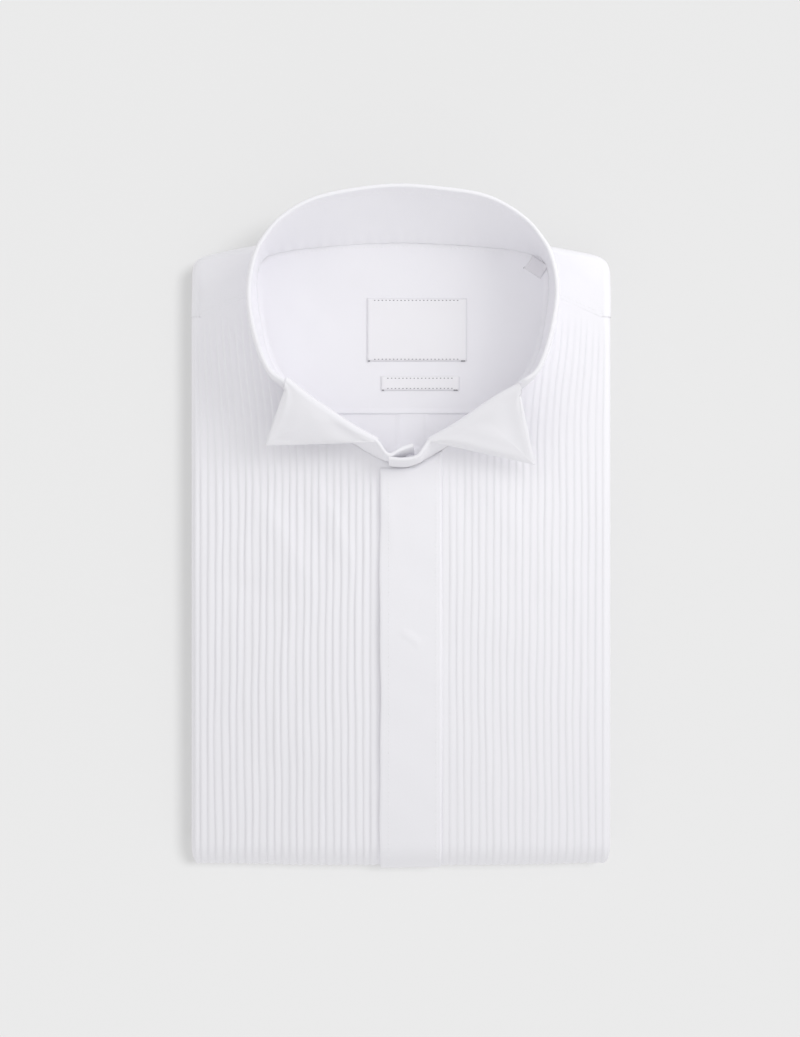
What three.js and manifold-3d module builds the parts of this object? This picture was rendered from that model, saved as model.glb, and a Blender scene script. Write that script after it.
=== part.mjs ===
// A long sleeve formal dress shirt with a wing collar and a tucked front, folded for the shelf and lying face up.
// Millimetres, +Z up, +Y towards the collar, +X to the wearer's left. The origin is under the middle of the
// folded shirt, on the surface that it lies on.

import * as THREE from "three";
import { mergeVertices } from "three/addons/utils/BufferGeometryUtils.js";
import Module from "manifold-3d";

const wasm = await Module();
wasm.setup();

// Driving sizes
const FOLDED_WIDTH = 223;
const HALF_WIDTH = FOLDED_WIDTH / 2;
const BUNDLE = 12.5; // thickness of the chest half, and of the tail half folded under it
const CROWN = 1.5; // how much higher the middle of the chest is than its edges
const CLOTH = 1.2;
const GAP = 0.3;
const Y_TURN = -164.6; // where the length is folded under, at the waist
const MID = BUNDLE; // height of the crease between the chest half and the tail half
const LIP_REACH = 4; // how far the side folds round out
const LIP_QUARTER = 8.2; // cloth in a quarter of a side fold
const LIP_WRAP = 151; // degrees that the cloth turns through at a side fold

// Front
const TUCK_RISE = 0.75;
const TUCK_FADE = 22; // length over which a tuck opens out below its seam
const TUCK_DRIFT = 6.5; // how far the tucks spread outwards near the shoulders
// A tuck's section, from its crease nearest to the wearer's right to the next one
const TUCK_SHAPE = [
  { at: 0, rise: 0 },
  { at: 0.26, rise: 1 },
  { at: 0.72, rise: 0.8 },
];
const PLACKET = { from: -11.1, to: 21.2, lift: 0.3, thick: 1.5, wrap: 0.75 * Math.PI };
const FRONTS = {
  right: { side: -1, inner: 12.6, tucks: 27, pitch: 3.92, under: [20.9, 12, 2, -8] },
  left: { side: 1, inner: 21.5, tucks: 25, pitch: 3.87, under: [] },
};
const ROW_SHARES = [0, 0.04, 0.1, 0.26, 0.6, 1];
const TURN_STEPS = 8;

// Neckline of the front, as y at a distance across from its own middle
const NECK_MIDDLE = 1;
const NECK_FRONT = [
  { x: 0, y: 35 },
  { x: 6, y: 35.9 },
  { x: 12, y: 39.2 },
  { x: 20, y: 43.9 },
  { x: 26, y: 47.6 },
  { x: 38.5, y: 56.5 },
  { x: 50.5, y: 66 },
  { x: 60, y: 75 },
  { x: 66, y: 82 },
  { x: 70.5, y: 89.5 },
  { x: 73.6, y: 98 },
  { x: 76.3, y: 110 },
  { x: 78, y: 127 },
];
const NECK_BACK = [
  { x: 0, y: 153.8 },
  { x: 28, y: 152.9 },
  { x: 43, y: 151.6 },
  { x: 57.6, y: 150 },
  { x: 68, y: 147.8 },
  { x: 74, y: 145.4 },
  { x: 77, y: 141 },
];
const NECK_SIDE = 78; // where the front neckline meets the yoke
const YOKE_SEAM = { y: 127, slope: 0.448 };

// Half of the yoke, from the side fold to the back of the neck: its outer edge and the edge that it starts at
const YOKE = [
  { edgeX: 111.5, edgeY: 114.1, startX: 107.4, startY: 114.1 },
  { edgeX: 111.5, edgeY: 124, startX: 103.5, startY: 115.9 },
  { edgeX: 111.5, edgeY: 133, startX: 99.5, startY: 117.7 },
  { edgeX: 111.3, edgeY: 138.6, startX: 96, startY: 119.2 },
  { edgeX: 110.2, edgeY: 142.6, startX: 93, startY: 120.6 },
  { edgeX: 107.6, edgeY: 145.3, startX: 90, startY: 121.9 },
  { edgeX: 104, edgeY: 146.9, startX: 87, startY: 123.3 },
  { edgeX: 97, edgeY: 148.4, startX: 83.6, startY: 124.8 },
  { edgeX: 89, edgeY: 150, startX: 79.4, startY: 126.7 },
  { edgeX: 84, edgeY: 151, startX: 79.4, startY: 134 },
  { edgeX: 79, edgeY: 152, startX: 78, startY: 141.4 },
  { edgeX: 74, edgeY: 153, startX: 74.5, startY: 145.8 },
  { edgeX: 67, edgeY: 154.4, startX: 68, startY: 148.1 },
  { edgeX: 57, edgeY: 156.2, startX: 57.6, startY: 150.3 },
  { edgeX: 43, edgeY: 158, startX: 43, startY: 151.9 },
  { edgeX: 24, edgeY: 159.4, startX: 24, startY: 153.3 },
  { edgeX: 0, edgeY: 160, startX: 0, startY: 154.1 },
];
const YOKE_ROLL = [90, 62, 34, 6, -22, -50];

// What shows through the neck
const INSIDE_CLOTH = 1;
const INSIDE_DEPTH = 3.6; // how far the back lies below the front
const BACK_SEAM_Y = 62.9;
const INSIDE_COLUMNS = [-76, -72, -66, -58, -47, -34, -20, 0, 20, 34, 47, 58, 66, 72, 76];
const LABELS = {
  neck_label: { x: 8.5, y: 107.2, width: 53, length: 33.2, turn: 0, columns: 8, rows: 3 },
  cloth_label: { x: 10.2, y: 78.8, width: 41.6, length: 7.4, turn: 0, columns: 6, rows: 1 },
  size_tab: { x: 69.9, y: 139.2, width: 9.6, length: 8.4, turn: -0.5, columns: 2, rows: 3 },
};
const LABEL_CLOTH = 1;
const LABEL_LIFT = 0.45;

// Collar band, half of it from the end of the fold to the middle of the back
const COLLAR_CLOTH = 1.6;
const BAND = [
  { baseX: 14.5, baseY: 40.7, topX: 14, topY: 48, topZ: 40 },
  { baseX: 26, baseY: 47.6, topX: 26.2, topY: 54.6, topZ: 46 },
  { baseX: 38.5, baseY: 56.5, topX: 37.8, topY: 62, topZ: 52 },
  { baseX: 50.5, baseY: 66, topX: 49.4, topY: 69.8, topZ: 58 },
  { baseX: 60, baseY: 75, topX: 60.3, topY: 77.2, topZ: 63.4 },
  { baseX: 66, baseY: 82, topX: 68.1, topY: 82.4, topZ: 64.6 },
  { baseX: 70.5, baseY: 89.5, topX: 72.7, topY: 90.9, topZ: 65.2 },
  { baseX: 73.6, baseY: 98, topX: 76.2, topY: 102.3, topZ: 65.8 },
  { baseX: 75.8, baseY: 109, topX: 78.4, topY: 114.1, topZ: 66 },
  { baseX: 77.6, baseY: 121, topX: 79.1, topY: 125, topZ: 66 },
  { baseX: 78.2, baseY: 132, topX: 78, topY: 135.5, topZ: 65.8 },
  { baseX: 77, baseY: 140.8, topX: 74.9, topY: 146, topZ: 65.2 },
  { baseX: 73.6, baseY: 145.6, topX: 70.6, topY: 153, topZ: 64.6 },
  { baseX: 68, baseY: 147.9, topX: 64.8, topY: 160, topZ: 63.8 },
  { baseX: 57.6, baseY: 150.1, topX: 54.4, topY: 167.6, topZ: 62.8 },
  { baseX: 43, baseY: 151.7, topX: 41.6, topY: 173.3, topZ: 61.8 },
  { baseX: 24, baseY: 153.1, topX: 24.6, topY: 176.8, topZ: 61 },
  { baseX: 0, baseY: 153.9, topX: 0, topY: 178.7, topZ: 60.6 },
];
const FOLD_ROWS = 5; // rows of BAND along which the wing is folded over
const BAND_LEVELS = [0, 0.35, 0.7, 1];
const BAND_BOW = 1.2; // how much the band bellies outwards half way up
// The two ends of the band cross at the middle of the front: the wearer's left end lies outside
const TABS = {
  right: [
    { baseX: 6.4, baseY: 40.5, topX: 6.4, topY: 45.6, topZ: 40 },
    { baseX: 0, baseY: 38.2, topX: -0.5, topY: 43.2, topZ: 40 },
    { baseX: -7.4, baseY: 38.2, topX: -6.7, topY: 40.6, topZ: 40 },
  ],
  left: [
    { baseX: -5.8, baseY: 35.6, topX: -6.4, topY: 38.3, topZ: 40 },
    { baseX: 1.6, baseY: 34.9, topX: 1, topY: 37.8, topZ: 40 },
    { baseX: 8.6, baseY: 36.9, topX: 8.5, topY: 39.4, topZ: 40 },
    { baseX: 12, baseY: 38.7, topX: 12, topY: 43.7, topZ: 40 },
  ],
};
const WINGS = {
  right: { side: -1, tip: [-71.4, 45.4, 40.5], foldTop: [-59.6, 78.6, 63], tipShare: 0.42 },
  left: { side: 1, tip: [70.6, 35.4, 36.5], foldTop: [61.6, 75.6, 63], tipShare: 0.44 },
};
const WING_STEPS = 8;
const WING_LEVELS = [0, 0.3, 0.65, 1];
const WING_BOW = 1.6;

// Layers folded out of sight
const CORE_INSET = CLOTH + 1.5 * GAP;
const LAYERS = [
  { low: 6.1, high: 12.4, halfWidth: 110.2, yFrom: -163.8, yTo: 146, reach: 2.8, corner: 6 },
  { low: 0, high: 6.3, halfWidth: 111.2, yFrom: -164.3, yTo: 142.5, reach: 3, corner: 6 },
];

const FINISHES = {
  cloth: new THREE.MeshStandardMaterial({ color: 0xf2f2f6, roughness: 0.85, metalness: 0 }),
  label: new THREE.MeshStandardMaterial({ color: 0xf0f0f5, roughness: 0.55, metalness: 0 }),
  tab: new THREE.MeshStandardMaterial({ color: 0xd3d3d8, roughness: 0.7, metalness: 0 }),
};

// Helpers on numbers and points

const mix = (a, b, share) => a + (b - a) * share;
const mixPoint = (p, q, share) => p.map((value, i) => mix(value, q[i], share));
const clamp = (value, low, high) => Math.min(high, Math.max(low, value));
const ease = (share) => {
  const s = clamp(share, 0, 1);
  return s * s * (3 - 2 * s);
};
const evenly = (count) => Array.from({ length: count }, (_, i) => i / (count - 1));
const minus = (p, q) => p.map((value, i) => value - q[i]);
const plusTimes = (p, q, times) => p.map((value, i) => value + q[i] * times);
const cross = (p, q) => [
  p[1] * q[2] - p[2] * q[1],
  p[2] * q[0] - p[0] * q[2],
  p[0] * q[1] - p[1] * q[0],
];
const unit = (p) => {
  const length = Math.hypot(...p);
  return p.map((value) => value / length);
};

// A smooth curve through a table's rows, read at one value of its x column.
function readCurve(rows, x) {
  const last = rows.length - 1;
  const at = clamp(x, rows[0].x, rows[last].x);
  let i = 0;
  while (i < last - 1 && rows[i + 1].x < at) i += 1;
  const slope = (k) => {
    const a = rows[Math.max(k - 1, 0)];
    const b = rows[Math.min(k + 1, last)];
    return (b.y - a.y) / (b.x - a.x);
  };
  const span = rows[i + 1].x - rows[i].x;
  const s = (at - rows[i].x) / span;
  const start = rows[i].y * (1 + 2 * s) * (1 - s) ** 2 + slope(i) * span * s * (1 - s) ** 2;
  const end = rows[i + 1].y * s * s * (3 - 2 * s) + slope(i + 1) * span * s * s * (s - 1);
  return start + end;
}

const frontNeck = (x) => readCurve(NECK_FRONT, Math.abs(x - NECK_MIDDLE));
const backNeck = (x) => readCurve(NECK_BACK, Math.abs(x - NECK_MIDDLE));

// Surfaces of the folded bundle

const crownHeight = (x) => BUNDLE + CROWN * (1 - (x / HALF_WIDTH) ** 2);

// The chest half's section: a distance across the cloth from the middle gives x and the height above the crease.
function across(distance) {
  const flat = HALF_WIDTH - LIP_REACH;
  const out = Math.abs(distance);
  if (out <= flat) return { x: distance, height: crownHeight(distance) };
  const angle = (Math.PI / 2) * (1 - (out - flat) / LIP_QUARTER);
  return {
    x: Math.sign(distance) * (flat + LIP_REACH * Math.cos(angle)),
    height: (crownHeight(flat) / 2) * (1 + Math.sin(angle)),
  };
}

// A point of the front's outer face. Past the waist, turn is the angle that the cloth has folded under.
function frontFace(distance, y, turn) {
  const { x, height } = across(distance);
  const flatShare = BUNDLE / crownHeight(Math.min(Math.abs(distance), HALF_WIDTH - LIP_REACH));
  const h = height * mix(1, flatShare, Math.sin(turn / 2) ** 2);
  return [x, y - h * Math.sin(turn), MID + h * Math.cos(turn)];
}

function frontNormal(distance, y, turn) {
  const step = 0.05;
  const sideways = minus(frontFace(distance + step, y, turn), frontFace(distance - step, y, turn));
  const ahead =
    turn > 0
      ? minus(frontFace(distance, y, turn - step / BUNDLE), frontFace(distance, y, turn + step / BUNDLE))
      : [0, 1, 0];
  return unit(cross(sideways, ahead));
}

// Meshes from grids of points

class Surface {
  constructor() {
    this.points = [];
    this.faces = [];
  }

  addGrid(rows) {
    return rows.map((row) => row.map((point) => this.points.push(point) - 1));
  }

  addQuad(a, b, c, d) {
    this.faces.push([a, b, c], [a, c, d]);
  }

  skinGrid(grid, facing) {
    for (let r = 0; r + 1 < grid.length; r += 1) {
      for (let c = 0; c + 1 < grid[r].length; c += 1) {
        const corners = [grid[r][c], grid[r][c + 1], grid[r + 1][c + 1], grid[r + 1][c]];
        this.addQuad(...(facing > 0 ? corners : corners.reverse()));
      }
    }
  }

  // Joins two edges that start and end together. at and otherAt say how far along each point is, and rise.
  zip(edge, other, at = evenly(edge.length), otherAt = evenly(other.length)) {
    let i = 0;
    let j = 0;
    while (i + 1 < edge.length || j + 1 < other.length) {
      if (j + 1 >= other.length || (i + 1 < edge.length && at[i + 1] <= otherAt[j + 1])) {
        this.faces.push([edge[i], other[j], edge[i + 1]]);
        i += 1;
      } else {
        this.faces.push([edge[i], other[j], other[j + 1]]);
        j += 1;
      }
    }
  }

  // Turns every face round if the closed surface faces inwards.
  faceOutwards() {
    const volume = this.faces.reduce((sum, [a, b, c]) => {
      const [p, q, r] = [this.points[a], this.points[b], this.points[c]];
      return sum + cross(p, q).reduce((part, value, i) => part + value * r[i], 0);
    }, 0);
    if (volume < 0) this.faces = this.faces.map(([a, b, c]) => [a, c, b]);
    return this;
  }

  solid() {
    const mesh = new wasm.Mesh({
      numProp: 3,
      vertProperties: new Float32Array(this.points.flat()),
      triVerts: new Uint32Array(this.faces.flat()),
    });
    return new wasm.Manifold(mesh);
  }

  geometry() {
    const made = new THREE.BufferGeometry();
    made.setAttribute("position", new THREE.Float32BufferAttribute(this.points.flat(), 3));
    made.setIndex(this.faces.flat());
    return made;
  }
}

// A closed wall between an outer and an inner grid that cover the same ground, row for row.
// Where they have different numbers of columns, at and innerAt give the columns' places.
function wallBetween(outerRows, innerRows, at, innerAt) {
  const surface = new Surface();
  const outer = surface.addGrid(outerRows);
  const inner = surface.addGrid(innerRows);
  const last = outer.length - 1;
  const backwards = (places) => places && places.map((place) => -place).reverse();
  surface.skinGrid(outer, 1);
  surface.skinGrid(inner, -1);
  surface.zip(outer[0], inner[0], at, innerAt);
  surface.zip(
    [...outer[last]].reverse(),
    [...inner[last]].reverse(),
    backwards(at),
    backwards(innerAt),
  );
  surface.zip(outer.map((row) => row[0]).reverse(), inner.map((row) => row[0]).reverse());
  surface.zip(
    outer.map((row) => row[row.length - 1]),
    inner.map((row) => row[row.length - 1]),
  );
  return surface.faceOutwards();
}

// A closed body through a stack of rings, with a lid at each end. flatten lays a ring's point on paper.
function stackRings(rings, flatten) {
  const surface = new Surface();
  const grid = surface.addGrid(rings);
  surface.skinGrid(grid.map((ring) => [...ring, ring[0]]), 1);
  for (const end of [0, rings.length - 1]) {
    const contour = rings[end].map((point) => new THREE.Vector2(...flatten(point)));
    const reverse = THREE.ShapeUtils.isClockWise(contour) === (end > 0);
    for (const face of THREE.ShapeUtils.triangulateShape(contour, [])) {
      const [a, b, c] = face.map((i) => grid[end][i]);
      surface.faces.push(reverse ? [a, c, b] : [a, b, c]);
    }
  }
  return surface.faceOutwards();
}

function geometryOfSolid(solid) {
  const { vertProperties, triVerts } = solid.simplify(0.02).getMesh();
  const made = new THREE.BufferGeometry();
  made.setAttribute("position", new THREE.Float32BufferAttribute(vertProperties, 3));
  made.setIndex([...triVerts]);
  return made;
}

function solidOfGeometry(geometry) {
  const bare = geometry.clone();
  bare.deleteAttribute("normal");
  bare.deleteAttribute("uv");
  const merged = mergeVertices(bare);
  const mesh = new wasm.Mesh({
    numProp: 3,
    vertProperties: merged.attributes.position.array,
    triVerts: new Uint32Array(merged.index.array),
  });
  return new wasm.Manifold(mesh);
}

const boxSolid = (low, high) => {
  const size = minus(high, low);
  const box = new THREE.BoxGeometry(...size);
  box.translate(...plusTimes(low, size, 0.5));
  return solidOfGeometry(box);
};

// Front panels, each in tucks from its seam to the waist and round the fold there

const yokeSeam = (out) =>
  YOKE_SEAM.y - YOKE_SEAM.slope * (Math.min(out, HALF_WIDTH - LIP_REACH) - NECK_SIDE);

// Where the front starts at a distance across: at the neckline, or further out at the yoke's seam.
function frontStart(distance) {
  const out = Math.abs(distance - NECK_MIDDLE);
  return out < NECK_SIDE ? frontNeck(distance) + 0.8 : yokeSeam(Math.abs(distance)) - GAP;
}

function tuckColumns({ side, inner, tucks, pitch }) {
  const section = [...TUCK_SHAPE, { at: 1, rise: 0 }];
  const outwards =
    side > 0 ? section : section.map(({ at, rise }) => ({ at: 1 - at, rise })).reverse();
  const columns = [];
  for (let k = 0; k < tucks; k += 1)
    for (const { at, rise } of outwards.slice(0, -1))
      columns.push({ out: inner + pitch * (k + at), rise });
  columns.push({ out: inner + pitch * tucks, rise: 0 });
  return columns;
}

const lipEnd = HALF_WIDTH - LIP_REACH + (LIP_QUARTER * LIP_WRAP) / 90;

// The rows of a column down the front: y where it lies flat, and the turn past the waist.
function frontRows(start, shares, turnTo, steps) {
  const rows = shares.map((share) => ({ y: mix(start, Y_TURN, share), turn: 0 }));
  for (let i = 1; i <= steps; i += 1) rows.push({ y: Y_TURN, turn: (turnTo * i) / steps });
  return rows;
}

// How much of a tuck's height is left at a place: none at its seam, round the side fold, and underneath.
function tuckShare(out, start, y, turn) {
  const opened = ease((start - y) / TUCK_FADE);
  const side = 1 - ease((out - (HALF_WIDTH - LIP_REACH) - 1.5) / 5);
  const under = 1 - ease((turn - 1.9) / 0.9);
  return opened * side * under;
}

function spread(out, inner, y) {
  const across01 = clamp((out - inner) / (HALF_WIDTH - inner), 0, 1);
  return TUCK_DRIFT * 4 * across01 * (1 - across01) * ease((y - 45) / 75);
}

function frontPanel({ side, inner, tucks, pitch, under }) {
  const columns = tuckColumns({ side, inner, tucks, pitch });
  const lastTuck = columns[columns.length - 1].out;
  for (const share of [0.5, 1]) columns.push({ out: mix(lastTuck, lipEnd, share), rise: 0 });
  const flat = under.map((distance) => ({ out: side * distance, rise: 0 }));
  const outerColumns = [...flat, ...columns];
  const innerColumns = outerColumns.filter(
    ({ out, rise }) => rise === 0 || out > HALF_WIDTH - LIP_REACH,
  );
  const gridOf = (wanted, offset) => {
    const lines = wanted.map(({ out, rise }) => {
      const spreadAt = out + spread(out, inner, frontStart(side * out));
      const start = frontStart(side * spreadAt);
      const rows = frontRows(start, ROW_SHARES, Math.PI, TURN_STEPS);
      return rows.map(({ y, turn }) => {
        const distance = side * (out + spread(out, inner, y));
        const lift = offset ?? rise * TUCK_RISE * tuckShare(out, start, y, turn);
        return plusTimes(frontFace(distance, y, turn), frontNormal(distance, y, turn), lift);
      });
    });
    const ordered = side > 0 ? lines : [...lines].reverse();
    return ordered[0].map((_, r) => ordered.map((line) => line[r])).reverse();
  };
  const placesOf = (wanted) => wanted.map(({ out }) => side * out).sort((a, b) => a - b);
  return wallBetween(
    gridOf(outerColumns, undefined),
    gridOf(innerColumns, -CLOTH),
    placesOf(outerColumns),
    placesOf(innerColumns),
  ).geometry();
}

// The strip down the front that hides the buttons
function placket() {
  const { from, to, lift, thick, wrap } = PLACKET;
  const edge = 0.5;
  const columns = [from, from + edge, -3.5, 3.5, 9, 15, to - edge, to];
  const gridOf = (offset) => {
    const lines = columns.map((x) => {
      const start = frontNeck(Math.max(x, NECK_MIDDLE)) - 1.4;
      const rows = frontRows(start, ROW_SHARES, wrap, TURN_STEPS);
      const pressed = x === from || x === to ? edge : 0;
      const height = offset === lift ? lift : offset - pressed;
      return rows.map(({ y, turn }) =>
        plusTimes(frontFace(x, y, turn), frontNormal(x, y, turn), height),
      );
    });
    return lines[0].map((_, r) => lines.map((line) => line[r])).reverse();
  };
  return wallBetween(gridOf(lift + thick), gridOf(lift)).geometry();
}

// Yoke: over both shoulders and behind the neck, rolled round the top of the bundle

// Its stations, from the wearer's left side fold round the neck to the right one.
function yokeStations() {
  const right = YOKE.slice(0, -1).map((row) => {
    const atSeam = row.startY < YOKE_SEAM.y;
    return { ...row, edgeX: -row.edgeX, startX: (atSeam ? 0 : 2 * NECK_MIDDLE) - row.startX };
  });
  return [...YOKE, ...right.reverse()];
}

// The way outwards, in plan, from a line of points that runs from the wearer's left to the right.
function outwardAt(points, i) {
  if (i === 0) return [1, 0];
  if (i === points.length - 1) return [-1, 0];
  const [x, y] = unit(minus(points[i + 1], points[i - 1]));
  return [y, -x];
}

function yoke() {
  const stations = yokeStations();
  const edges = stations.map((row) => [row.edgeX, row.edgeY]);
  const lineOf = ({ startX, startY }, i, inset) => {
    const outward = outwardAt(edges, i);
    const inner = plusTimes(edges[i], outward, -LIP_REACH);
    const rise = crownHeight(inner[0]) / 2;
    const between = mixPoint([startX, startY], inner, 0.5);
    const rolled = YOKE_ROLL.map((degrees) => {
      const angle = THREE.MathUtils.degToRad(degrees);
      const point = plusTimes(inner, outward, (LIP_REACH - inset) * Math.cos(angle));
      return [...point, MID + rise + (rise - inset) * Math.sin(angle)];
    });
    const top = ([x, y]) => [x, y, MID + crownHeight(x) - inset];
    return [top([startX, startY]), top(between), ...rolled];
  };
  const outer = stations.map((row, i) => lineOf(row, i, 0));
  const inner = stations.map((row, i) => lineOf(row, i, CLOTH));
  return wallBetween(outer, inner).geometry();
}

// Inside of the back, seen through the neck

// Height of its face: it hangs from the neck seam and lies a little below the front.
function insideHeight(x, y) {
  const fromSeam = ease((backNeck(x) - y) / 42);
  const fromSide = 1 - ease((Math.abs(x - NECK_MIDDLE) - 46) / 31) * 0.6;
  return MID + crownHeight(x) - 0.4 - INSIDE_DEPTH * fromSeam * fromSide;
}

function insideGrid(columns, rowShares, yFrom, yTo, heightOffset) {
  return rowShares.map((share) =>
    columns.map((x) => {
      const y = mix(yFrom(x), yTo(x), share);
      return [x, y, insideHeight(x, y) + heightOffset];
    }),
  );
}

const insideBack = (x) => backNeck(x) - 1.1;
const insideFront = (x) => Math.min(frontNeck(x) - 4, insideBack(x) - 3);

function insideWall(columns, rowShares, yFrom, yTo) {
  const top = insideGrid(columns, rowShares, yFrom, yTo, 0);
  const bottom = insideGrid(columns, rowShares, yFrom, yTo, -INSIDE_CLOTH);
  return wallBetween(top, bottom).geometry();
}

const shiftedColumns = INSIDE_COLUMNS.map((x) => x + NECK_MIDDLE);
const seamColumns = shiftedColumns.filter((x) => insideFront(x) < BACK_SEAM_Y - 2);

const yokeInside = () =>
  insideWall(
    shiftedColumns,
    [1, 0.75, 0.55, 0.42, 0.32, 0.23, 0.14, 0.06, 0],
    insideBack,
    (x) => Math.max(BACK_SEAM_Y + GAP / 2, insideFront(x)),
  );

const backInside = () =>
  insideWall(seamColumns, [1, 0.5, 0], () => BACK_SEAM_Y - GAP / 2, insideFront);

// The hollow in the hidden layers that the inside of the back lies in
function neckHollow() {
  const last = shiftedColumns.length - 1;
  const columns = shiftedColumns.map((x, i) => (i === 0 ? x - GAP : i === last ? x + GAP : x));
  const covered = (x) => clamp(x, shiftedColumns[0], shiftedColumns[last]);
  const shares = [1, 0.75, 0.5, 0.38, 0.28, 0.2, 0.12, 0.05, 0];
  const from = (x) => insideBack(covered(x)) + GAP;
  const to = (x) => insideFront(covered(x)) - 2 * GAP;
  const floor = insideGrid(columns, shares, from, to, -INSIDE_CLOTH - 1.5 * GAP);
  const lid = floor.map((row) => row.map(([x, y]) => [x, y, MID + 2 * BUNDLE]));
  return wallBetween(lid, floor).solid();
}

// A label sewn to the inside of the back, on that cloth's own surface
function label({ x, y, width, length, turn, columns, rows }) {
  const gridOf = (lift) =>
    Array.from({ length: rows + 1 }, (_, r) =>
      Array.from({ length: columns + 1 }, (__, c) => {
        const dx = (c / columns - 0.5) * width;
        const dy = (r / rows - 0.5) * length;
        const px = x + dx * Math.cos(turn) - dy * Math.sin(turn);
        const py = y + dx * Math.sin(turn) + dy * Math.cos(turn);
        return [px, py, insideHeight(px, py) + LABEL_LIFT + lift];
      }),
    );
  return wallBetween(gridOf(LABEL_CLOTH), gridOf(0)).geometry();
}

// Collar: one band whose two front corners are folded over into wings

// The band's whole length, from the wearer's right end round the back to the wearer's left end.
function bandStations() {
  const onSide = (side) =>
    BAND.map((row) => ({
      ...row,
      baseX: NECK_MIDDLE + side * row.baseX,
      topX: NECK_MIDDLE + side * row.topX,
    }));
  const right = onSide(-1);
  const left = onSide(1).reverse().slice(1);
  return [...TABS.right, ...right, ...left, ...[...TABS.left].reverse()];
}

function bandGrid(stations) {
  return stations.map((row, i) => {
    const a = stations[Math.max(i - 1, 0)];
    const b = stations[Math.min(i + 1, stations.length - 1)];
    const baseZ = MID + crownHeight(row.baseX) + GAP;
    const base = [row.baseX, row.baseY, baseZ];
    const top = [row.topX, row.topY, row.topZ];
    const sideways = unit(cross([b.baseX - a.baseX, b.baseY - a.baseY, 0], [0, 0, 1]));
    const faces = { outer: [], inner: [] };
    for (const share of BAND_LEVELS) {
      const bow = BAND_BOW * 4 * share * (1 - share) * ((row.topZ - baseZ) / (2 * BUNDLE));
      const middle = plusTimes(mixPoint(base, top, share), sideways, -bow);
      faces.outer.push(plusTimes(middle, sideways, -COLLAR_CLOTH / 2));
      faces.inner.push(plusTimes(middle, sideways, COLLAR_CLOTH / 2));
    }
    return faces;
  });
}

// Points along a wing's free edges, from the top of its fold to its tip and on to the foot of the fold.
function wingEdge(start, tip, end, tipShare, share) {
  return share < tipShare
    ? mixPoint(start, tip, share / tipShare)
    : mixPoint(tip, end, (share - tipShare) / (1 - tipShare));
}

function wing({ side, tip, foldTop, tipShare }) {
  const fold = BAND.slice(0, FOLD_ROWS)
    .reverse()
    .map((row) => [NECK_MIDDLE + side * row.topX, row.topY, row.topZ - 0.9]);
  fold[0] = plusTimes(foldTop, [0, 0, 1], -0.4);
  const foldAt = (share) => {
    const place = share * (fold.length - 1);
    const i = Math.min(Math.floor(place), fold.length - 2);
    return mixPoint(fold[i], fold[i + 1], place - i);
  };
  const start = plusTimes(foldAt(0.02), [side * 0.6, -2.2, -1.2], 1);
  const end = plusTimes(foldAt(0.98), [side * 1.6, -1.6, -0.4], 1);
  const flat = unit(cross(minus(tip, fold[0]), minus(fold[fold.length - 1], fold[0])));
  const up = flat[2] < 0 ? flat.map((value) => -value) : flat;
  const steps = Array.from({ length: WING_STEPS + 1 }, (_, i) => i / WING_STEPS);
  steps.push(tipShare);
  steps.sort((a, b) => a - b);
  const rowsOf = (offset) =>
    steps.map((share) => {
      const root = foldAt(share);
      const edge = wingEdge(start, tip, end, tipShare, share);
      return WING_LEVELS.map((level) => {
        const bow = WING_BOW * 4 * level * (1 - level) * Math.sin(Math.PI * share);
        return plusTimes(mixPoint(root, edge, level), up, bow + offset);
      });
    });
  const rows = [rowsOf(COLLAR_CLOTH / 2), rowsOf(-COLLAR_CLOTH / 2)];
  const ordered = side > 0 ? rows.map((grid) => [...grid].reverse()) : rows;
  return wallBetween(...ordered).solid();
}

function collar() {
  const faces = bandGrid(bandStations());
  const outer = faces.map((line) => line.outer);
  const inner = faces.map((line) => line.inner);
  const band = wallBetween(outer, inner).solid();
  return geometryOfSolid(band.add(wing(WINGS.right)).add(wing(WINGS.left)));
}

// Hidden layers: the chest half's filling, its turn at the waist, and the layers folded under it

// The filling's section across the body, inside the cloth of the front.
function fillingSection() {
  const flat = HALF_WIDTH - LIP_REACH;
  const rise = crownHeight(flat) / 2;
  const lip = [-60, -30, 0, 30, 60, 90].map((degrees) => {
    const angle = THREE.MathUtils.degToRad(degrees);
    const reach = LIP_REACH - CORE_INSET;
    return [flat + reach * Math.cos(angle), rise + (rise - CORE_INSET) * Math.sin(angle)];
  });
  const top = [85, 60, 30].map((x) => [x, crownHeight(x) - CORE_INSET]);
  return [...lip, ...top];
}

// A flat body with rounded edges inside a plan outline, whose points are listed with their way outwards.
function roundedSlab(outline, { low, high, reach }) {
  const rise = (high - low) / 2;
  const rings = [90, 55, 20, -20, -55, -90].map((degrees) => {
    const angle = THREE.MathUtils.degToRad(degrees);
    return outline.map(({ point, outward }) => {
      const [x, y] = plusTimes(point, outward, -reach * (1 - Math.cos(angle)));
      return [x, y, low + rise + rise * Math.sin(angle)];
    });
  });
  return stackRings(rings, ([x, y]) => [x, y]).solid();
}

// The plan of the filling: straight sides, and the line of the yoke's roll at the shoulders.
function fillingOutline() {
  const stations = yokeStations().map((row) => [row.edgeX, row.edgeY]);
  const outline = stations.map((edge, i) => {
    const outward = outwardAt(stations, i);
    return { point: plusTimes(edge, outward, -CORE_INSET), outward };
  });
  const foot = (side) => ({
    point: [side * (HALF_WIDTH - CORE_INSET), Y_TURN - 1],
    outward: [side, 0],
  });
  return [foot(1), ...outline, foot(-1)];
}

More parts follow.
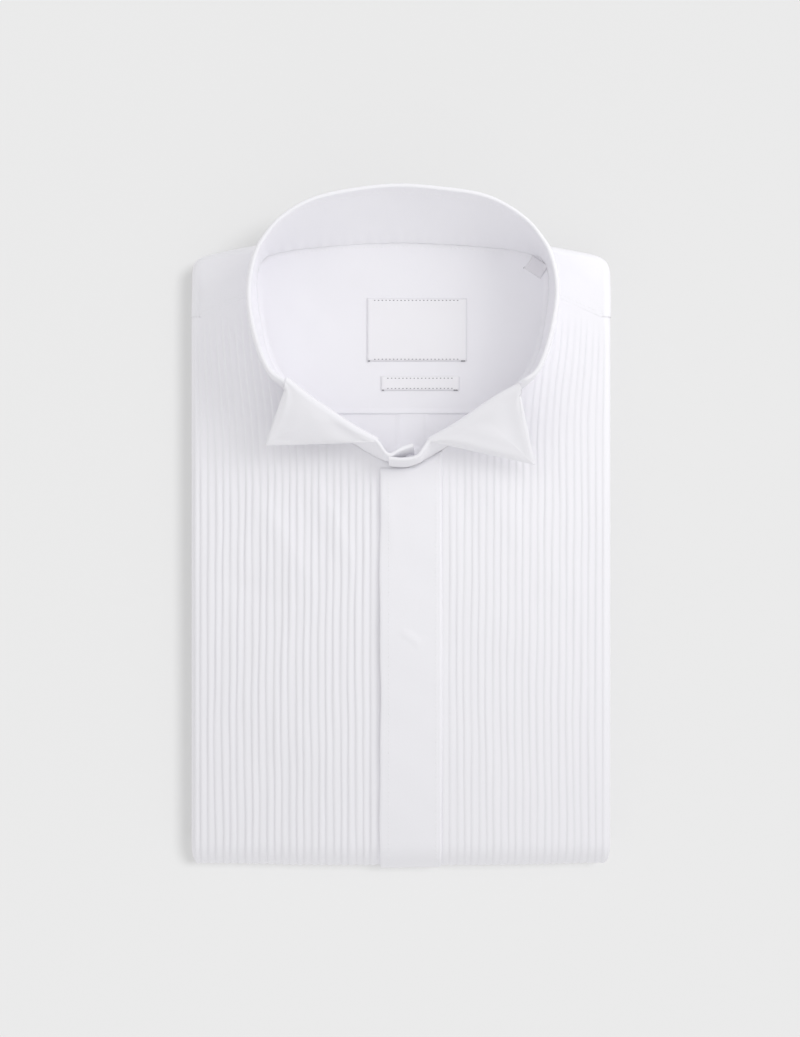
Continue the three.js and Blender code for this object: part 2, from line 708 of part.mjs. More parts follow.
function filling() {
  const half = fillingSection();
  const foot = [half[0][0] - 1.3, -0.6];
  const ring = [foot, ...half];
  const around = [...ring, ...ring.map(([x, h]) => [-x, h]).reverse()];
  const section = stackRings(
    [Y_TURN - 0.5, 2 * HALF_WIDTH].map((y) => around.map(([x, h]) => [x, y, MID + h])),
    ([x, , z]) => [x, z],
  ).solid();
  const outline = fillingOutline();
  const rolled = [90, 55, 20, -20, -55].map((degrees) => {
    const angle = THREE.MathUtils.degToRad(degrees);
    return outline.map(({ point, outward }) => {
      const inset = (LIP_REACH - CORE_INSET) * (1 - Math.cos(angle));
      const place = plusTimes(point, outward, -inset);
      const rise = crownHeight(place[0]) / 2;
      return [...place, MID + rise + (rise - CORE_INSET) * Math.sin(angle)];
    });
  });
  const above = rolled[0].map(([x, y, z]) => [x, y, z + BUNDLE]);
  const below = rolled[rolled.length - 1].map(([x, y]) => [x, y, MID - 1]);
  return section.intersect(stackRings([above, ...rolled, below], ([x, y]) => [x, y]).solid());
}

function waistTurn() {
  const half = fillingSection().filter(([, height]) => height > 2);
  const scaled = half.map(([x, height]) => [x, (height * BUNDLE) / crownHeight(x) - GAP]);
  const profile = [
    [scaled[0][0] - 1, 0],
    ...scaled,
    ...scaled.map(([x, height]) => [-x, height]).reverse(),
    [1 - scaled[0][0], 0],
  ];
  const turned = new THREE.LatheGeometry(
    profile.map(([x, height]) => new THREE.Vector2(height, x)).reverse(),
    20,
  );
  turned.rotateZ(-Math.PI / 2);
  turned.translate(0, Y_TURN, MID);
  const kept = boxSolid(
    [-HALF_WIDTH, Y_TURN - 2 * BUNDLE, -BUNDLE],
    [HALF_WIDTH, Y_TURN + 1.1, 3 * BUNDLE],
  );
  return solidOfGeometry(turned).intersect(kept);
}

// The plan of a layer folded under the chest half, with round corners at the shoulder end.
function layerOutline({ halfWidth, yFrom, yTo, corner }) {
  const half = [{ point: [halfWidth, yFrom], outward: [1, 0] }];
  for (const degrees of [0, 30, 60, 90]) {
    const angle = THREE.MathUtils.degToRad(degrees);
    const outward = [Math.cos(angle), Math.sin(angle)];
    half.push({ point: plusTimes([halfWidth - corner, yTo - corner], outward, corner), outward });
  }
  const mirrored = half.map(({ point, outward }) => ({
    point: [-point[0], point[1]],
    outward: [-outward[0], outward[1]],
  }));
  return [...half, ...mirrored.reverse()];
}

function foldedLayers() {
  const layers = LAYERS.map((layer) => roundedSlab(layerOutline(layer), layer));
  const whole = layers.reduce((sum, layer) => sum.add(layer), filling().add(waistTurn()));
  return geometryOfSolid(whole.subtract(neckHollow()));
}

// The shirt

const shirt = new THREE.Group();
const addPiece = (name, geometry, material) => {
  const mesh = new THREE.Mesh(geometry, material);
  mesh.name = name;
  shirt.add(mesh);
};

addPiece("folded_layers", foldedLayers(), FINISHES.cloth);
addPiece("front_right", frontPanel(FRONTS.right), FINISHES.cloth);
addPiece("front_left", frontPanel(FRONTS.left), FINISHES.cloth);
addPiece("placket", placket(), FINISHES.cloth);
addPiece("yoke", yoke(), FINISHES.cloth);
addPiece("yoke_inside", yokeInside(), FINISHES.cloth);
addPiece("back_inside", backInside(), FINISHES.cloth);
addPiece("collar", collar(), FINISHES.cloth);
for (const [name, sizes] of Object.entries(LABELS))
  addPiece(name, label(sizes), name === "size_tab" ? FINISHES.tab : FINISHES.label);

export default shirt;
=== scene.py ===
import logging
import math
from dataclasses import dataclass, field
from enum import Enum
from typing import Sequence

import bpy
import numpy as np
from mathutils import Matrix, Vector

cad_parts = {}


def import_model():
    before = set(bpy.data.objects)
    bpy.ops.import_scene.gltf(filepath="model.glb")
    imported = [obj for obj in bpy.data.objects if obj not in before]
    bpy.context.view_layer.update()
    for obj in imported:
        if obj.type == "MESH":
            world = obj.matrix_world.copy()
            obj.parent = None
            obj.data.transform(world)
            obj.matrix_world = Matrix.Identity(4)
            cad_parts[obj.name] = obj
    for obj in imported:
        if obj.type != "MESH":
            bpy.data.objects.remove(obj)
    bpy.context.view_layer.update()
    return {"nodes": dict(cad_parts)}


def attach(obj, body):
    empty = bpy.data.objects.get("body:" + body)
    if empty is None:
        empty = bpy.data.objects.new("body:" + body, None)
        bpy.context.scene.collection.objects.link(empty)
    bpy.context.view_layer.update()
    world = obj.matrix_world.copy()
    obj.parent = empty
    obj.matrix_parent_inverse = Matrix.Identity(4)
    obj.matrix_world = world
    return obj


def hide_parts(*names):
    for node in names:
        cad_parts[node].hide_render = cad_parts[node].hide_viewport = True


# Dresses a long sleeve formal shirt, folded for the shelf and lying face up.
# Sizes are in millimetres up to the point where a mesh is made, and repeat the values of the
# part's source. X runs to the wearer's left, Y to the collar and Z up.

LOG = logging.getLogger("shirt")
METRES = 0.001
Array = np.ndarray
Points = Sequence[tuple[float, ...]]


# ---------------------------------------------------------------- numbers and curves


def ease(share: Array | float) -> Array:
    """Returns a smooth step of a share, flat below 0 and above 1."""
    s = np.clip(share, 0.0, 1.0)
    return s * s * (3.0 - 2.0 * s)


def mix(a: Array | float, b: Array | float, share: Array | float) -> Array | float:
    """Returns the value a share of the way from a to b."""
    return a + (b - a) * share


def unit(vectors: Array) -> Array:
    """Returns vectors scaled to length one."""
    return vectors / (np.linalg.norm(vectors, axis=-1, keepdims=True) + 1e-12)


def bump_at(distance: Array, width: float) -> Array:
    """Returns a soft hill of height one and the given half width."""
    return np.exp(-((distance / width) ** 2))


class TableCurve:
    """A smooth curve through the rows of a table of (x, value)."""

    def __init__(self, rows: Points) -> None:
        """Reads the rows.

        Args:
            rows: (x, value) in rising x.
        """
        self.x, self.value = np.array(rows, float).T
        low = np.maximum(np.arange(len(self.x)) - 1, 0)
        high = np.minimum(np.arange(len(self.x)) + 1, len(self.x) - 1)
        self.slope = (self.value[high] - self.value[low]) / (self.x[high] - self.x[low])

    def __call__(self, x: Array | float) -> Array:
        """Returns the curve's value at x, held at its ends."""
        at = np.clip(x, self.x[0], self.x[-1])
        i = np.clip(np.searchsorted(self.x, at, side="left") - 1, 0, len(self.x) - 2)
        span = self.x[i + 1] - self.x[i]
        s = (at - self.x[i]) / span
        start = self.value[i] * (1 + 2 * s) * (1 - s) ** 2 + self.slope[i] * span * s * (1 - s) ** 2
        end = self.value[i + 1] * s * s * (3 - 2 * s) + self.slope[i + 1] * span * s * s * (s - 1)
        return start + end


class PathCurve:
    """A smooth path through points of any number of coordinates, even in length."""

    def __init__(self, points: Array, measure: slice = slice(0, 3)) -> None:
        """Fits the path.

        Args:
            points: one row for each point.
            measure: the coordinates that the length is measured on.
        """
        self.points = np.asarray(points, float)
        steps = np.linalg.norm(np.diff(self.points[:, measure], axis=0), axis=1)
        self.at = np.concatenate([[0.0], np.cumsum(steps)])
        low = np.maximum(np.arange(len(self.at)) - 1, 0)
        high = np.minimum(np.arange(len(self.at)) + 1, len(self.at) - 1)
        self.slope = (self.points[high] - self.points[low]) / (self.at[high] - self.at[low])[:, None]

    @property
    def length(self) -> float:
        """The length along the points, in the units of the points."""
        return float(self.at[-1])

    def __call__(self, distance: Array) -> Array:
        """Returns the points at distances along the path."""
        d = np.clip(np.asarray(distance, float), 0.0, self.length)
        i = np.clip(np.searchsorted(self.at, d, side="left") - 1, 0, len(self.at) - 2)
        span = (self.at[i + 1] - self.at[i])[..., None]
        s = ((d - self.at[i]) / span[..., 0])[..., None]
        start = self.points[i] * (1 + 2 * s) * (1 - s) ** 2 + self.slope[i] * span * s * (1 - s) ** 2
        end = self.points[i + 1] * s * s * (3 - 2 * s) + self.slope[i + 1] * span * s * s * (s - 1)
        return start + end


@dataclass(frozen=True)
class Wave:
    """One slow wave of the cloth: height, length across and along, and where it starts."""

    height: float
    across: float
    along: float
    phase: float

    def __call__(self, x: Array, y: Array) -> Array:
        """Returns the wave's height at places on the cloth."""
        return self.height * np.sin(2 * math.pi * (x / self.across + y / self.along) + self.phase)


@dataclass(frozen=True)
class SoftFold:
    """A soft ridge (or, with a negative height, a trough) along a bent line."""

    start: tuple[float, float]
    end: tuple[float, float]
    width: float
    height: float
    bend: float = 0.0
    steep: float = 1.0

    def __call__(self, x: Array, y: Array) -> Array:
        """Returns the fold's height at places on the cloth."""
        ax, ay = self.start
        dx, dy = self.end[0] - ax, self.end[1] - ay
        length = math.hypot(dx, dy)
        along = ((x - ax) * dx + (y - ay) * dy) / length**2
        off = ((x - ax) * -dy + (y - ay) * dx) / length - self.bend * 4 * along * (1 - along)
        width = np.where(off > 0, self.width, self.width * self.steep)
        ends = ease(along / 0.35) * ease((1 - along) / 0.35)
        return self.height * np.exp(-((off / width) ** 2)) * ends


@dataclass(frozen=True)
class Relief:
    """What lifts a piece of cloth off its plain form: slow waves and folds placed one by one."""

    waves: tuple[Wave, ...] = ()
    folds: tuple[SoftFold, ...] = ()

    def __call__(self, x: Array, y: Array) -> Array:
        """Returns the height above the plain form."""
        total = np.zeros(np.broadcast(x, y).shape)
        for shape in (*self.waves, *self.folds):
            total = total + shape(x, y)
        return total


# ---------------------------------------------------------------- the folded form


@dataclass(frozen=True)
class FoldedForm:
    """The rounded bundle that the pieces of the shirt lie on."""

    width: float = 223.0
    bundle: float = 12.5
    crown: float = 1.5
    y_turn: float = -164.6
    lip_reach: float = 4.0
    lip_quarter: float = 8.2
    lip_wrap: float = 151.0
    cloth: float = 1.2
    gap: float = 0.3
    neck_middle: float = 1.0
    neck_side: float = 78.0
    seam_y: float = 127.0
    seam_slope: float = 0.448
    inside_depth: float = 3.6
    back_seam_y: float = 62.9
    neck_front: Points = (
        (0, 35), (6, 35.9), (12, 39.2), (20, 43.9), (26, 47.6), (38.5, 56.5), (50.5, 66),
        (60, 75), (66, 82), (70.5, 89.5), (73.6, 98), (76.3, 110), (78, 127),
    )
    neck_back: Points = (
        (0, 153.8), (28, 152.9), (43, 151.6), (57.6, 150), (68, 147.8), (74, 145.4), (77, 141),
    )

    @property
    def half(self) -> float:
        """Half of the folded width."""
        return self.width / 2

    @property
    def flat(self) -> float:
        """Distance from the middle to where a side fold begins."""
        return self.half - self.lip_reach

    @property
    def mid(self) -> float:
        """Height of the fold between the chest half and the tail half."""
        return self.bundle

    @property
    def lip_end(self) -> float:
        """Distance across the cloth to the end of a side fold."""
        return self.flat + self.lip_quarter * self.lip_wrap / 90

    def front_neck(self, x: Array | float) -> Array:
        """Returns y of the front's neckline at x."""
        return TableCurve(self.neck_front)(np.abs(np.asarray(x) - self.neck_middle))

    def back_neck(self, x: Array | float) -> Array:
        """Returns y of the back's neckline at x."""
        return TableCurve(self.neck_back)(np.abs(np.asarray(x) - self.neck_middle))

    def crown_height(self, x: Array | float) -> Array:
        """Returns the height of the chest's top above the crease at x."""
        return self.bundle + self.crown * (1 - (np.asarray(x) / self.half) ** 2)

    def yoke_seam(self, out: Array) -> Array:
        """Returns y of the yoke's seam at a distance from the middle."""
        return self.seam_y - self.seam_slope * (np.minimum(out, self.flat) - self.neck_side)

    def front_start(self, distance: Array) -> Array:
        """Returns y where the front starts: at the neckline, or at the yoke's seam."""
        out = np.abs(distance - self.neck_middle)
        seam = self.yoke_seam(np.abs(distance)) - self.gap
        return np.where(out < self.neck_side, self.front_neck(distance) + 0.8, seam)

    def face(self, distance: Array, y: Array, turn: Array) -> Array:
        """Returns points of the front's outer face.

        Args:
            distance: across the cloth from the middle.
            y: along the chest.
            turn: angle that the cloth has folded under at the waist.
        """
        distance, y, turn = np.broadcast_arrays(distance, y, turn)
        out = np.abs(distance)
        angle = (math.pi / 2) * (1 - (out - self.flat) / self.lip_quarter)
        lies = out <= self.flat
        x = np.where(lies, distance, np.sign(distance) * (self.flat + self.lip_reach * np.cos(angle)))
        rolled = self.crown_height(self.flat) / 2 * (1 + np.sin(angle))
        height = np.where(lies, self.crown_height(distance), rolled)
        level = self.bundle / self.crown_height(np.minimum(out, self.flat))
        h = height * mix(1.0, level, np.sin(turn / 2) ** 2)
        return np.stack([x, y - h * np.sin(turn), self.mid + h * np.cos(turn)], axis=-1)

    def face_normal(self, distance: Array, y: Array, turn: Array) -> Array:
        """Returns the way out of the front's face."""
        step = 0.05
        sideways = self.face(distance + step, y, turn) - self.face(distance - step, y, turn)
        near, far = turn - step / self.bundle, turn + step / self.bundle
        ahead = self.face(distance, y, near) - self.face(distance, y, far)
        flat_ahead = np.broadcast_to(np.array([0.0, 1.0, 0.0]), ahead.shape)
        ahead = np.where(np.asarray(turn)[..., None] > 0, ahead, flat_ahead)
        return unit(np.cross(sideways, ahead))

    def inside_height(self, x: Array, y: Array) -> Array:
        """Returns the height of the inside of the back, seen through the neck."""
        from_seam = ease((self.back_neck(x) - y) / 42)
        from_side = 1 - ease((np.abs(np.asarray(x) - self.neck_middle) - 46) / 31) * 0.6
        return self.mid + self.crown_height(x) - 0.4 - self.inside_depth * from_seam * from_side


FORM = FoldedForm()


# ---------------------------------------------------------------- meshes


def grid_normals(points: Array) -> Array:
    """Returns unit normals of a grid of points, along rows crossed with along columns."""
    along_columns = np.gradient(points, axis=1)
    along_rows = np.gradient(points, axis=0)
    return unit(np.cross(along_rows, along_columns))


class ClothMesh:
    """Collects grids of points, with cloth coordinates and painted shade, into one object."""

    def __init__(self, name: str) -> None:
        """Starts an empty piece.

        Args:
            name: the piece's name.
        """
        self.name = name
        self._points: list[Array] = []
        self._cloth: list[Array] = []
        self._crease: list[Array] = []
        self._faces: list[Array] = []
        self._count = 0

    def grid(
        self,
        points: Array,
        painted_shade: Array | float = 0.0,
        flip: bool = False,
        wrap: bool = False,
        cloth: Array | None = None,
    ) -> Array:
        """Adds a grid.

        Args:
            points: rows by columns by 3.
            painted_shade: how much painted shade each point takes, 0 to 1.
            flip: turns the faces round.
            wrap: joins the last column to the first.
            cloth: place of each point on the cloth, in millimetres.

        Returns:
            The numbers of the grid's points.
        """
        rows, columns = points.shape[:2]
        numbers = self._count + np.arange(rows * columns).reshape(rows, columns)
        self._count += rows * columns
        if cloth is None:
            across = np.concatenate(
                [np.zeros((rows, 1)), np.cumsum(np.linalg.norm(np.diff(points, axis=1), axis=-1), axis=1)], axis=1
            )
            along = np.concatenate(
                [np.zeros((1, columns)), np.cumsum(np.linalg.norm(np.diff(points, axis=0), axis=-1), axis=0)], axis=0
            )
            cloth = np.stack([across, along], axis=-1)
        self._points.append(points.reshape(-1, 3))
        self._cloth.append(cloth.reshape(-1, 2))
        self._crease.append(np.broadcast_to(painted_shade, (rows, columns)).reshape(-1))
        ring = np.concatenate([numbers, numbers[:, :1]], axis=1) if wrap else numbers
        a, b, c, d = ring[:-1, :-1], ring[:-1, 1:], ring[1:, 1:], ring[1:, :-1]
        order = (a, d, c, b) if not flip else (a, b, c, d)
        self._faces.append(np.stack(order, axis=-1).reshape(-1, 4))
        return numbers

    def join_rims(self, upper: Array, lower: Array) -> None:
        """Joins the rims of two grids of the same size.

        Args:
            upper: the numbers of the grid that faces out.
            lower: the numbers of the other one.
        """
        a, b = (np.concatenate([n[0, :-1], n[:-1, -1], n[-1, :0:-1], n[:0:-1, 0]]) for n in (upper, lower))
        self._faces.append(np.stack([a, b, np.roll(b, -1), np.roll(a, -1)], axis=-1)[:, ::-1])

    def make(self, material: bpy.types.Material) -> bpy.types.Object:
        """Makes the object.

        Args:
            material: the finish of the whole piece.

        Returns:
            The object, in metres, linked to the scene.
        """
        points = np.concatenate(self._points) * METRES
        faces = np.concatenate(self._faces)
        mesh = bpy.data.meshes.new(self.name)
        mesh.vertices.add(len(points))
        mesh.vertices.foreach_set("co", points.astype(np.float32).ravel())
        mesh.loops.add(faces.size)
        mesh.loops.foreach_set("vertex_index", faces.astype(np.int32).ravel())
        mesh.polygons.add(len(faces))
        mesh.polygons.foreach_set("loop_start", np.arange(0, faces.size, 4, dtype=np.int32))
        mesh.polygons.foreach_set("use_smooth", np.ones(len(faces), bool))
        layer = mesh.uv_layers.new(name="cloth")
        cloth = (np.concatenate(self._cloth) * METRES)[faces.ravel()]
        layer.data.foreach_set("uv", cloth.astype(np.float32).ravel())
        # Painted shade: how far each point's colour is darkened towards its finish's shade colour.
        painted_shade = mesh.attributes.new("painted_shade", "FLOAT", "POINT")
        painted_shade.data.foreach_set("value", np.concatenate(self._crease).astype(np.float32))
        mesh.update(calc_edges=True)
        mesh.validate()
        mesh.materials.append(material)
        made = bpy.data.objects.new(self.name, mesh)
        bpy.context.collection.objects.link(made)
        return made


# ---------------------------------------------------------------- materials


class Signal:
    """A number, colour or vector on its way through a material, with arithmetic."""

    def __init__(self, graph: "Graph", socket: bpy.types.NodeSocket) -> None:
        """Wraps an output socket of a graph."""
        self.graph = graph
        self.socket = socket

    def _math(self, operation: str, other: "Signal | float", swap: bool = False) -> "Signal":
        pair = (other, self) if swap else (self, other)
        return self.graph.math(operation, *pair)

    def __add__(self, other: "Signal | float") -> "Signal":
        return self._math("ADD", other)

    __radd__ = __add__

    def __mul__(self, other: "Signal | float") -> "Signal":
        return self._math("MULTIPLY", other)

    __rmul__ = __mul__

    def __sub__(self, other: "Signal | float") -> "Signal":
        return self._math("SUBTRACT", other)

    def __rsub__(self, other: "Signal | float") -> "Signal":
        return self._math("SUBTRACT", other, swap=True)

    def __truediv__(self, other: "Signal | float") -> "Signal":
        return self._math("DIVIDE", other)

    def __rtruediv__(self, other: "Signal | float") -> "Signal":
        return self._math("DIVIDE", other, swap=True)

    def __pow__(self, other: "Signal | float") -> "Signal":
        return self._math("POWER", other)

    def sine(self) -> "Signal":
        """Returns the sine of a number."""
        return self.graph.math("SINE", self)


Input = Signal | float | tuple[float, ...]


class Graph:
    """Builds a material's nodes."""

    def __init__(self, name: str) -> None:
        """Starts a material with an empty tree.

        Args:
            name: the material's name.
        """
        self.material = bpy.data.materials.new(name)
        self.material.use_nodes = True
        self.tree = self.material.node_tree
        self.tree.nodes.clear()

    def node(self, kind: str, settings: dict[str, object] | None = None, **inputs: Input) -> bpy.types.Node:
        """Makes one node.

        Args:
            kind: the node's type.
            settings: its properties.
            **inputs: its inputs by name, with _ for a space, or by _number.

        Returns:
            The node.
        """
        made = self.tree.nodes.new(kind)
        for key, value in (settings or {}).items():
            setattr(made, key, value)
        for key, value in inputs.items():
            socket = made.inputs[int(key[1:])] if key[0] == "_" else made.inputs[key.replace("_", " ")]
            self.feed(socket, value)
        return made

    def feed(self, socket: bpy.types.NodeSocket, value: Input) -> None:
        """Links a signal to an input, or sets it to a constant."""
        if isinstance(value, Signal):
            self.tree.links.new(value.socket, socket)
        else:
            socket.default_value = value

    def out(self, node: bpy.types.Node, name: str | int = 0) -> Signal:
        """Returns one of a node's outputs as a signal."""
        return Signal(self, node.outputs[name])

    def math(self, operation: str, *values: Signal | float) -> Signal:
        """Returns arithmetic on numbers."""
        made = self.node("ShaderNodeMath", {"operation": operation}, **{f"_{i}": v for i, v in enumerate(values)})
        return self.out(made)

    def mix_colour(self, share: Input, a: Input, b: Input) -> Signal:
        """Returns a colour between a and b."""
        made = self.node("ShaderNodeMix", {"data_type": "RGBA"}, _0=share, _6=a, _7=b)
        return self.out(made, 2)

    def noise(self, at: Signal, scale: float, detail: float = 2.0) -> Signal:
        """Returns soft noise from 0 to 1 at a place in metres.

        Args:
            at: the place.
            scale: cells in a metre.
            detail: how many finer octaves.
        """
        made = self.node("ShaderNodeTexNoise", None, Vector=at, Scale=scale, Detail=detail)
        return self.out(made, 0)

    def finish(self, shader: bpy.types.Node) -> bpy.types.Material:
        """Joins a shader to the output and returns the material."""
        output = self.node("ShaderNodeOutputMaterial")
        self.tree.links.new(shader.outputs[0], output.inputs["Surface"])
        return self.material


class Weave(Enum):
    """How a cloth's threads cross."""

    TWILL = "twill"
    SATIN = "satin"
    PLAIN = "plain"


@dataclass(frozen=True)
class ClothFinish:
    """A woven finish.

    Attributes:
        name: the material's name.
        colour: linear colour of the cloth.
        shade: linear colour of the painted shade, reached where a point takes full shade.
        weave: how its threads cross.
        thread: distance between threads, in metres.
        depth: height of the weave, in metres.
        roughness: roughness between threads.
        sheen: weight of the fuzz.
        slub: how much the colour varies.
    """

    name: str
    colour: tuple[float, float, float]
    shade: tuple[float, float, float]
    weave: Weave
    thread: float
    depth: float
    roughness: float
    sheen: float = 0.0
    slub: float = 0.02

    def build(self) -> bpy.types.Material:
        """Returns the material."""
        g = Graph(self.name)
        cloth = g.out(g.node("ShaderNodeUVMap", {"uv_map": "cloth"}))
        parts = g.node("ShaderNodeSeparateXYZ", None, Vector=cloth)
        u, v = g.out(parts, 0), g.out(parts, 1)
        turns = 2 * math.pi / self.thread
        across, along = (u * turns).sine(), (v * turns).sine()
        match self.weave:
            case Weave.TWILL:
                ribs = ((u + v) * (turns * 0.5)).sine() * 0.65 + across * 0.2 + along * 0.15
            case Weave.SATIN:
                ribs = along * 0.8 + across * 0.2
            case Weave.PLAIN:
                ribs = across * along
        place = g.out(g.node("ShaderNodeTexCoord"), "Object")
        broad = g.noise(place, 55.0)
        fine = g.noise(place, 900.0)
        # Painted shade: each point's shade amount pulls the colour towards the shade colour.
        painted_shade = g.out(g.node("ShaderNodeAttribute", {"attribute_name": "painted_shade"}), "Fac")
        pale = g.mix_colour(broad, self._tint(1 - self.slub), self._tint(1 + self.slub * 0.5))
        threaded = g.mix_colour(ribs * 0.5 + 0.5, self._tint(1 - self.slub * 0.6), pale)
        colour = g.mix_colour(painted_shade, threaded, (*self.shade, 1.0))
        relief = ribs * (self.depth * 0.5) + fine * (self.depth * 0.5)
        bump = g.node("ShaderNodeBump", None, Strength=0.55, Distance=1.0, Height=relief)
        shader = g.node(
            "ShaderNodeBsdfPrincipled",
            None,
            Base_Color=colour,
            Roughness=self.roughness + (fine - 0.5) * 0.12,
            Normal=g.out(bump),
        )
        shader.inputs["Sheen Weight"].default_value = self.sheen
        shader.inputs["Sheen Roughness"].default_value = 0.4
        shader.inputs["Specular IOR Level"].default_value = 0.3
        return g.finish(shader)

    def _tint(self, times: float) -> tuple[float, float, float, float]:
        red, green, blue = (min(1.0, channel * times) for channel in self.colour)
        return red, green, blue, 1.0


@dataclass(frozen=True)
class FloorFinish:
    """A plain pale studio floor, a little lit by itself so that it stays even."""

    colour: tuple[float, float, float] = (0.35, 0.35, 0.35)
    glow: float = 0.37

    def build(self) -> bpy.types.Material:
        """Returns the material."""
        g = Graph("studio_floor")
        place = g.out(g.node("ShaderNodeTexCoord"), "Object")
        grain = g.noise(place, 300.0)
        pale = g.mix_colour(grain, (*(c * 0.995 for c in self.colour), 1.0), (*self.colour, 1.0))
        shader = g.node("ShaderNodeBsdfPrincipled", None, Base_Color=pale, Roughness=0.9)
        shader.inputs["Specular IOR Level"].default_value = 0.1
        if self.glow:
            shader.inputs["Emission Color"].default_value = (1, 1, 1, 1)
            shader.inputs["Emission Strength"].default_value = self.glow
        return g.finish(shader)


@dataclass(frozen=True)
class Finishes:
    """Every finish of the shirt."""

    cotton: bpy.types.Material
    inside: bpy.types.Material
    label: bpy.types.Material
    tab: bpy.types.Material
    thread: bpy.types.Material
    dark_thread: bpy.types.Material

    @classmethod
    def build(cls) -> "Finishes":
        """Returns the finishes, made once."""
        white, shade = (0.896, 0.889, 0.924), (0.722, 0.712, 0.748)
        return cls(
            cotton=ClothFinish("cotton_twill", white, shade, Weave.TWILL, 0.00042, 0.00006, 0.78, 0.12).build(),
            inside=ClothFinish(
                "cotton_inside", (0.885, 0.876, 0.914), shade, Weave.TWILL, 0.00042, 0.00006, 0.8, 0.12
            ).build(),
            label=ClothFinish(
                "label_satin", (0.885, 0.874, 0.905), (0.62, 0.61, 0.64), Weave.SATIN, 0.0003, 0.00003, 0.42, 0.05
            ).build(),
            tab=ClothFinish(
                "tab_tape", (0.8, 0.785, 0.82), (0.55, 0.54, 0.57), Weave.PLAIN, 0.0005, 0.00005, 0.6, 0.05
            ).build(),
            thread=ClothFinish(
                "white_thread", (0.9, 0.895, 0.915), (0.7, 0.7, 0.72), Weave.PLAIN, 0.0002, 0.00002, 0.55
            ).build(),
            dark_thread=ClothFinish(
                "grey_thread", (0.3, 0.3, 0.32), (0.25, 0.25, 0.26), Weave.PLAIN, 0.0002, 0.00002, 0.6
            ).build(),
        )


# ---------------------------------------------------------------- stitching


@dataclass(frozen=True)
class StitchRun:
    """A row of stitches along a line, sunk a little into the cloth.

    Attributes:
        pitch: distance from one stitch to the next.
        length: length of a stitch.
        radius: half the thread's thickness.
        sink: how far the middle of the thread lies above the line.
    """

    pitch: float = 2.3
    length: float = 1.7
    radius: float = 0.17
    sink: float = 0.02

    def sew(self, mesh: ClothMesh, line: Array, ups: Array) -> None:
        """Adds the stitches.

        Args:
            mesh: the mesh that takes them.
            line: points along the seam.
            ups: the way out of the cloth at each point.
        """
        both = PathCurve(np.concatenate([line, ups], axis=1))
        centres = np.arange(self.pitch, both.length - self.pitch * 0.5, self.pitch)
        if not len(centres):
            return
        shares = np.array([-1.0, -0.72, 0.0, 0.72, 1.0])
        girth = np.array([0.05, 0.75, 1.0, 0.75, 0.05])
        dips = np.array([-1.6, -0.6, 0.0, -0.6, -1.6])
        angles = np.linspace(0, 2 * math.pi, 6, endpoint=False)
        for centre in centres:
            at = both(centre + shares * self.length / 2)
            middle, up = at[:, :3], unit(at[:, 3:])
            ahead = unit(np.gradient(middle, axis=0))
            side = unit(np.cross(ahead, up))
            core = middle + up * (self.sink + dips * self.radius)[:, None]
            ring = side[:, None] * np.cos(angles)[None, :, None] + up[:, None] * np.sin(angles)[None, :, None]
            mesh.grid(core[:, None] + ring * (girth * self.radius)[:, None, None], wrap=True)


@dataclass(frozen=True)
class Seam:
    """A line to sew: points in millimetres, and the way out of the cloth at each."""

    line: Array
    ups: Array
    run: StitchRun = StitchRun()


def sew(name: str, seams: Sequence[Seam], thread: bpy.types.Material) -> bpy.types.Object:
    """Makes the stitches of a piece of cloth.

    Args:
        name: the cloth's node.
        seams: where they run.
        thread: their finish.

    Returns:
        The stitches, one object.
    """
    mesh = ClothMesh(f"{name}_stitches")
    for seam in seams:
        seam.run.sew(mesh, seam.line, seam.ups)
    made = mesh.make(thread)
    return made


# ---------------------------------------------------------------- fronts and placket


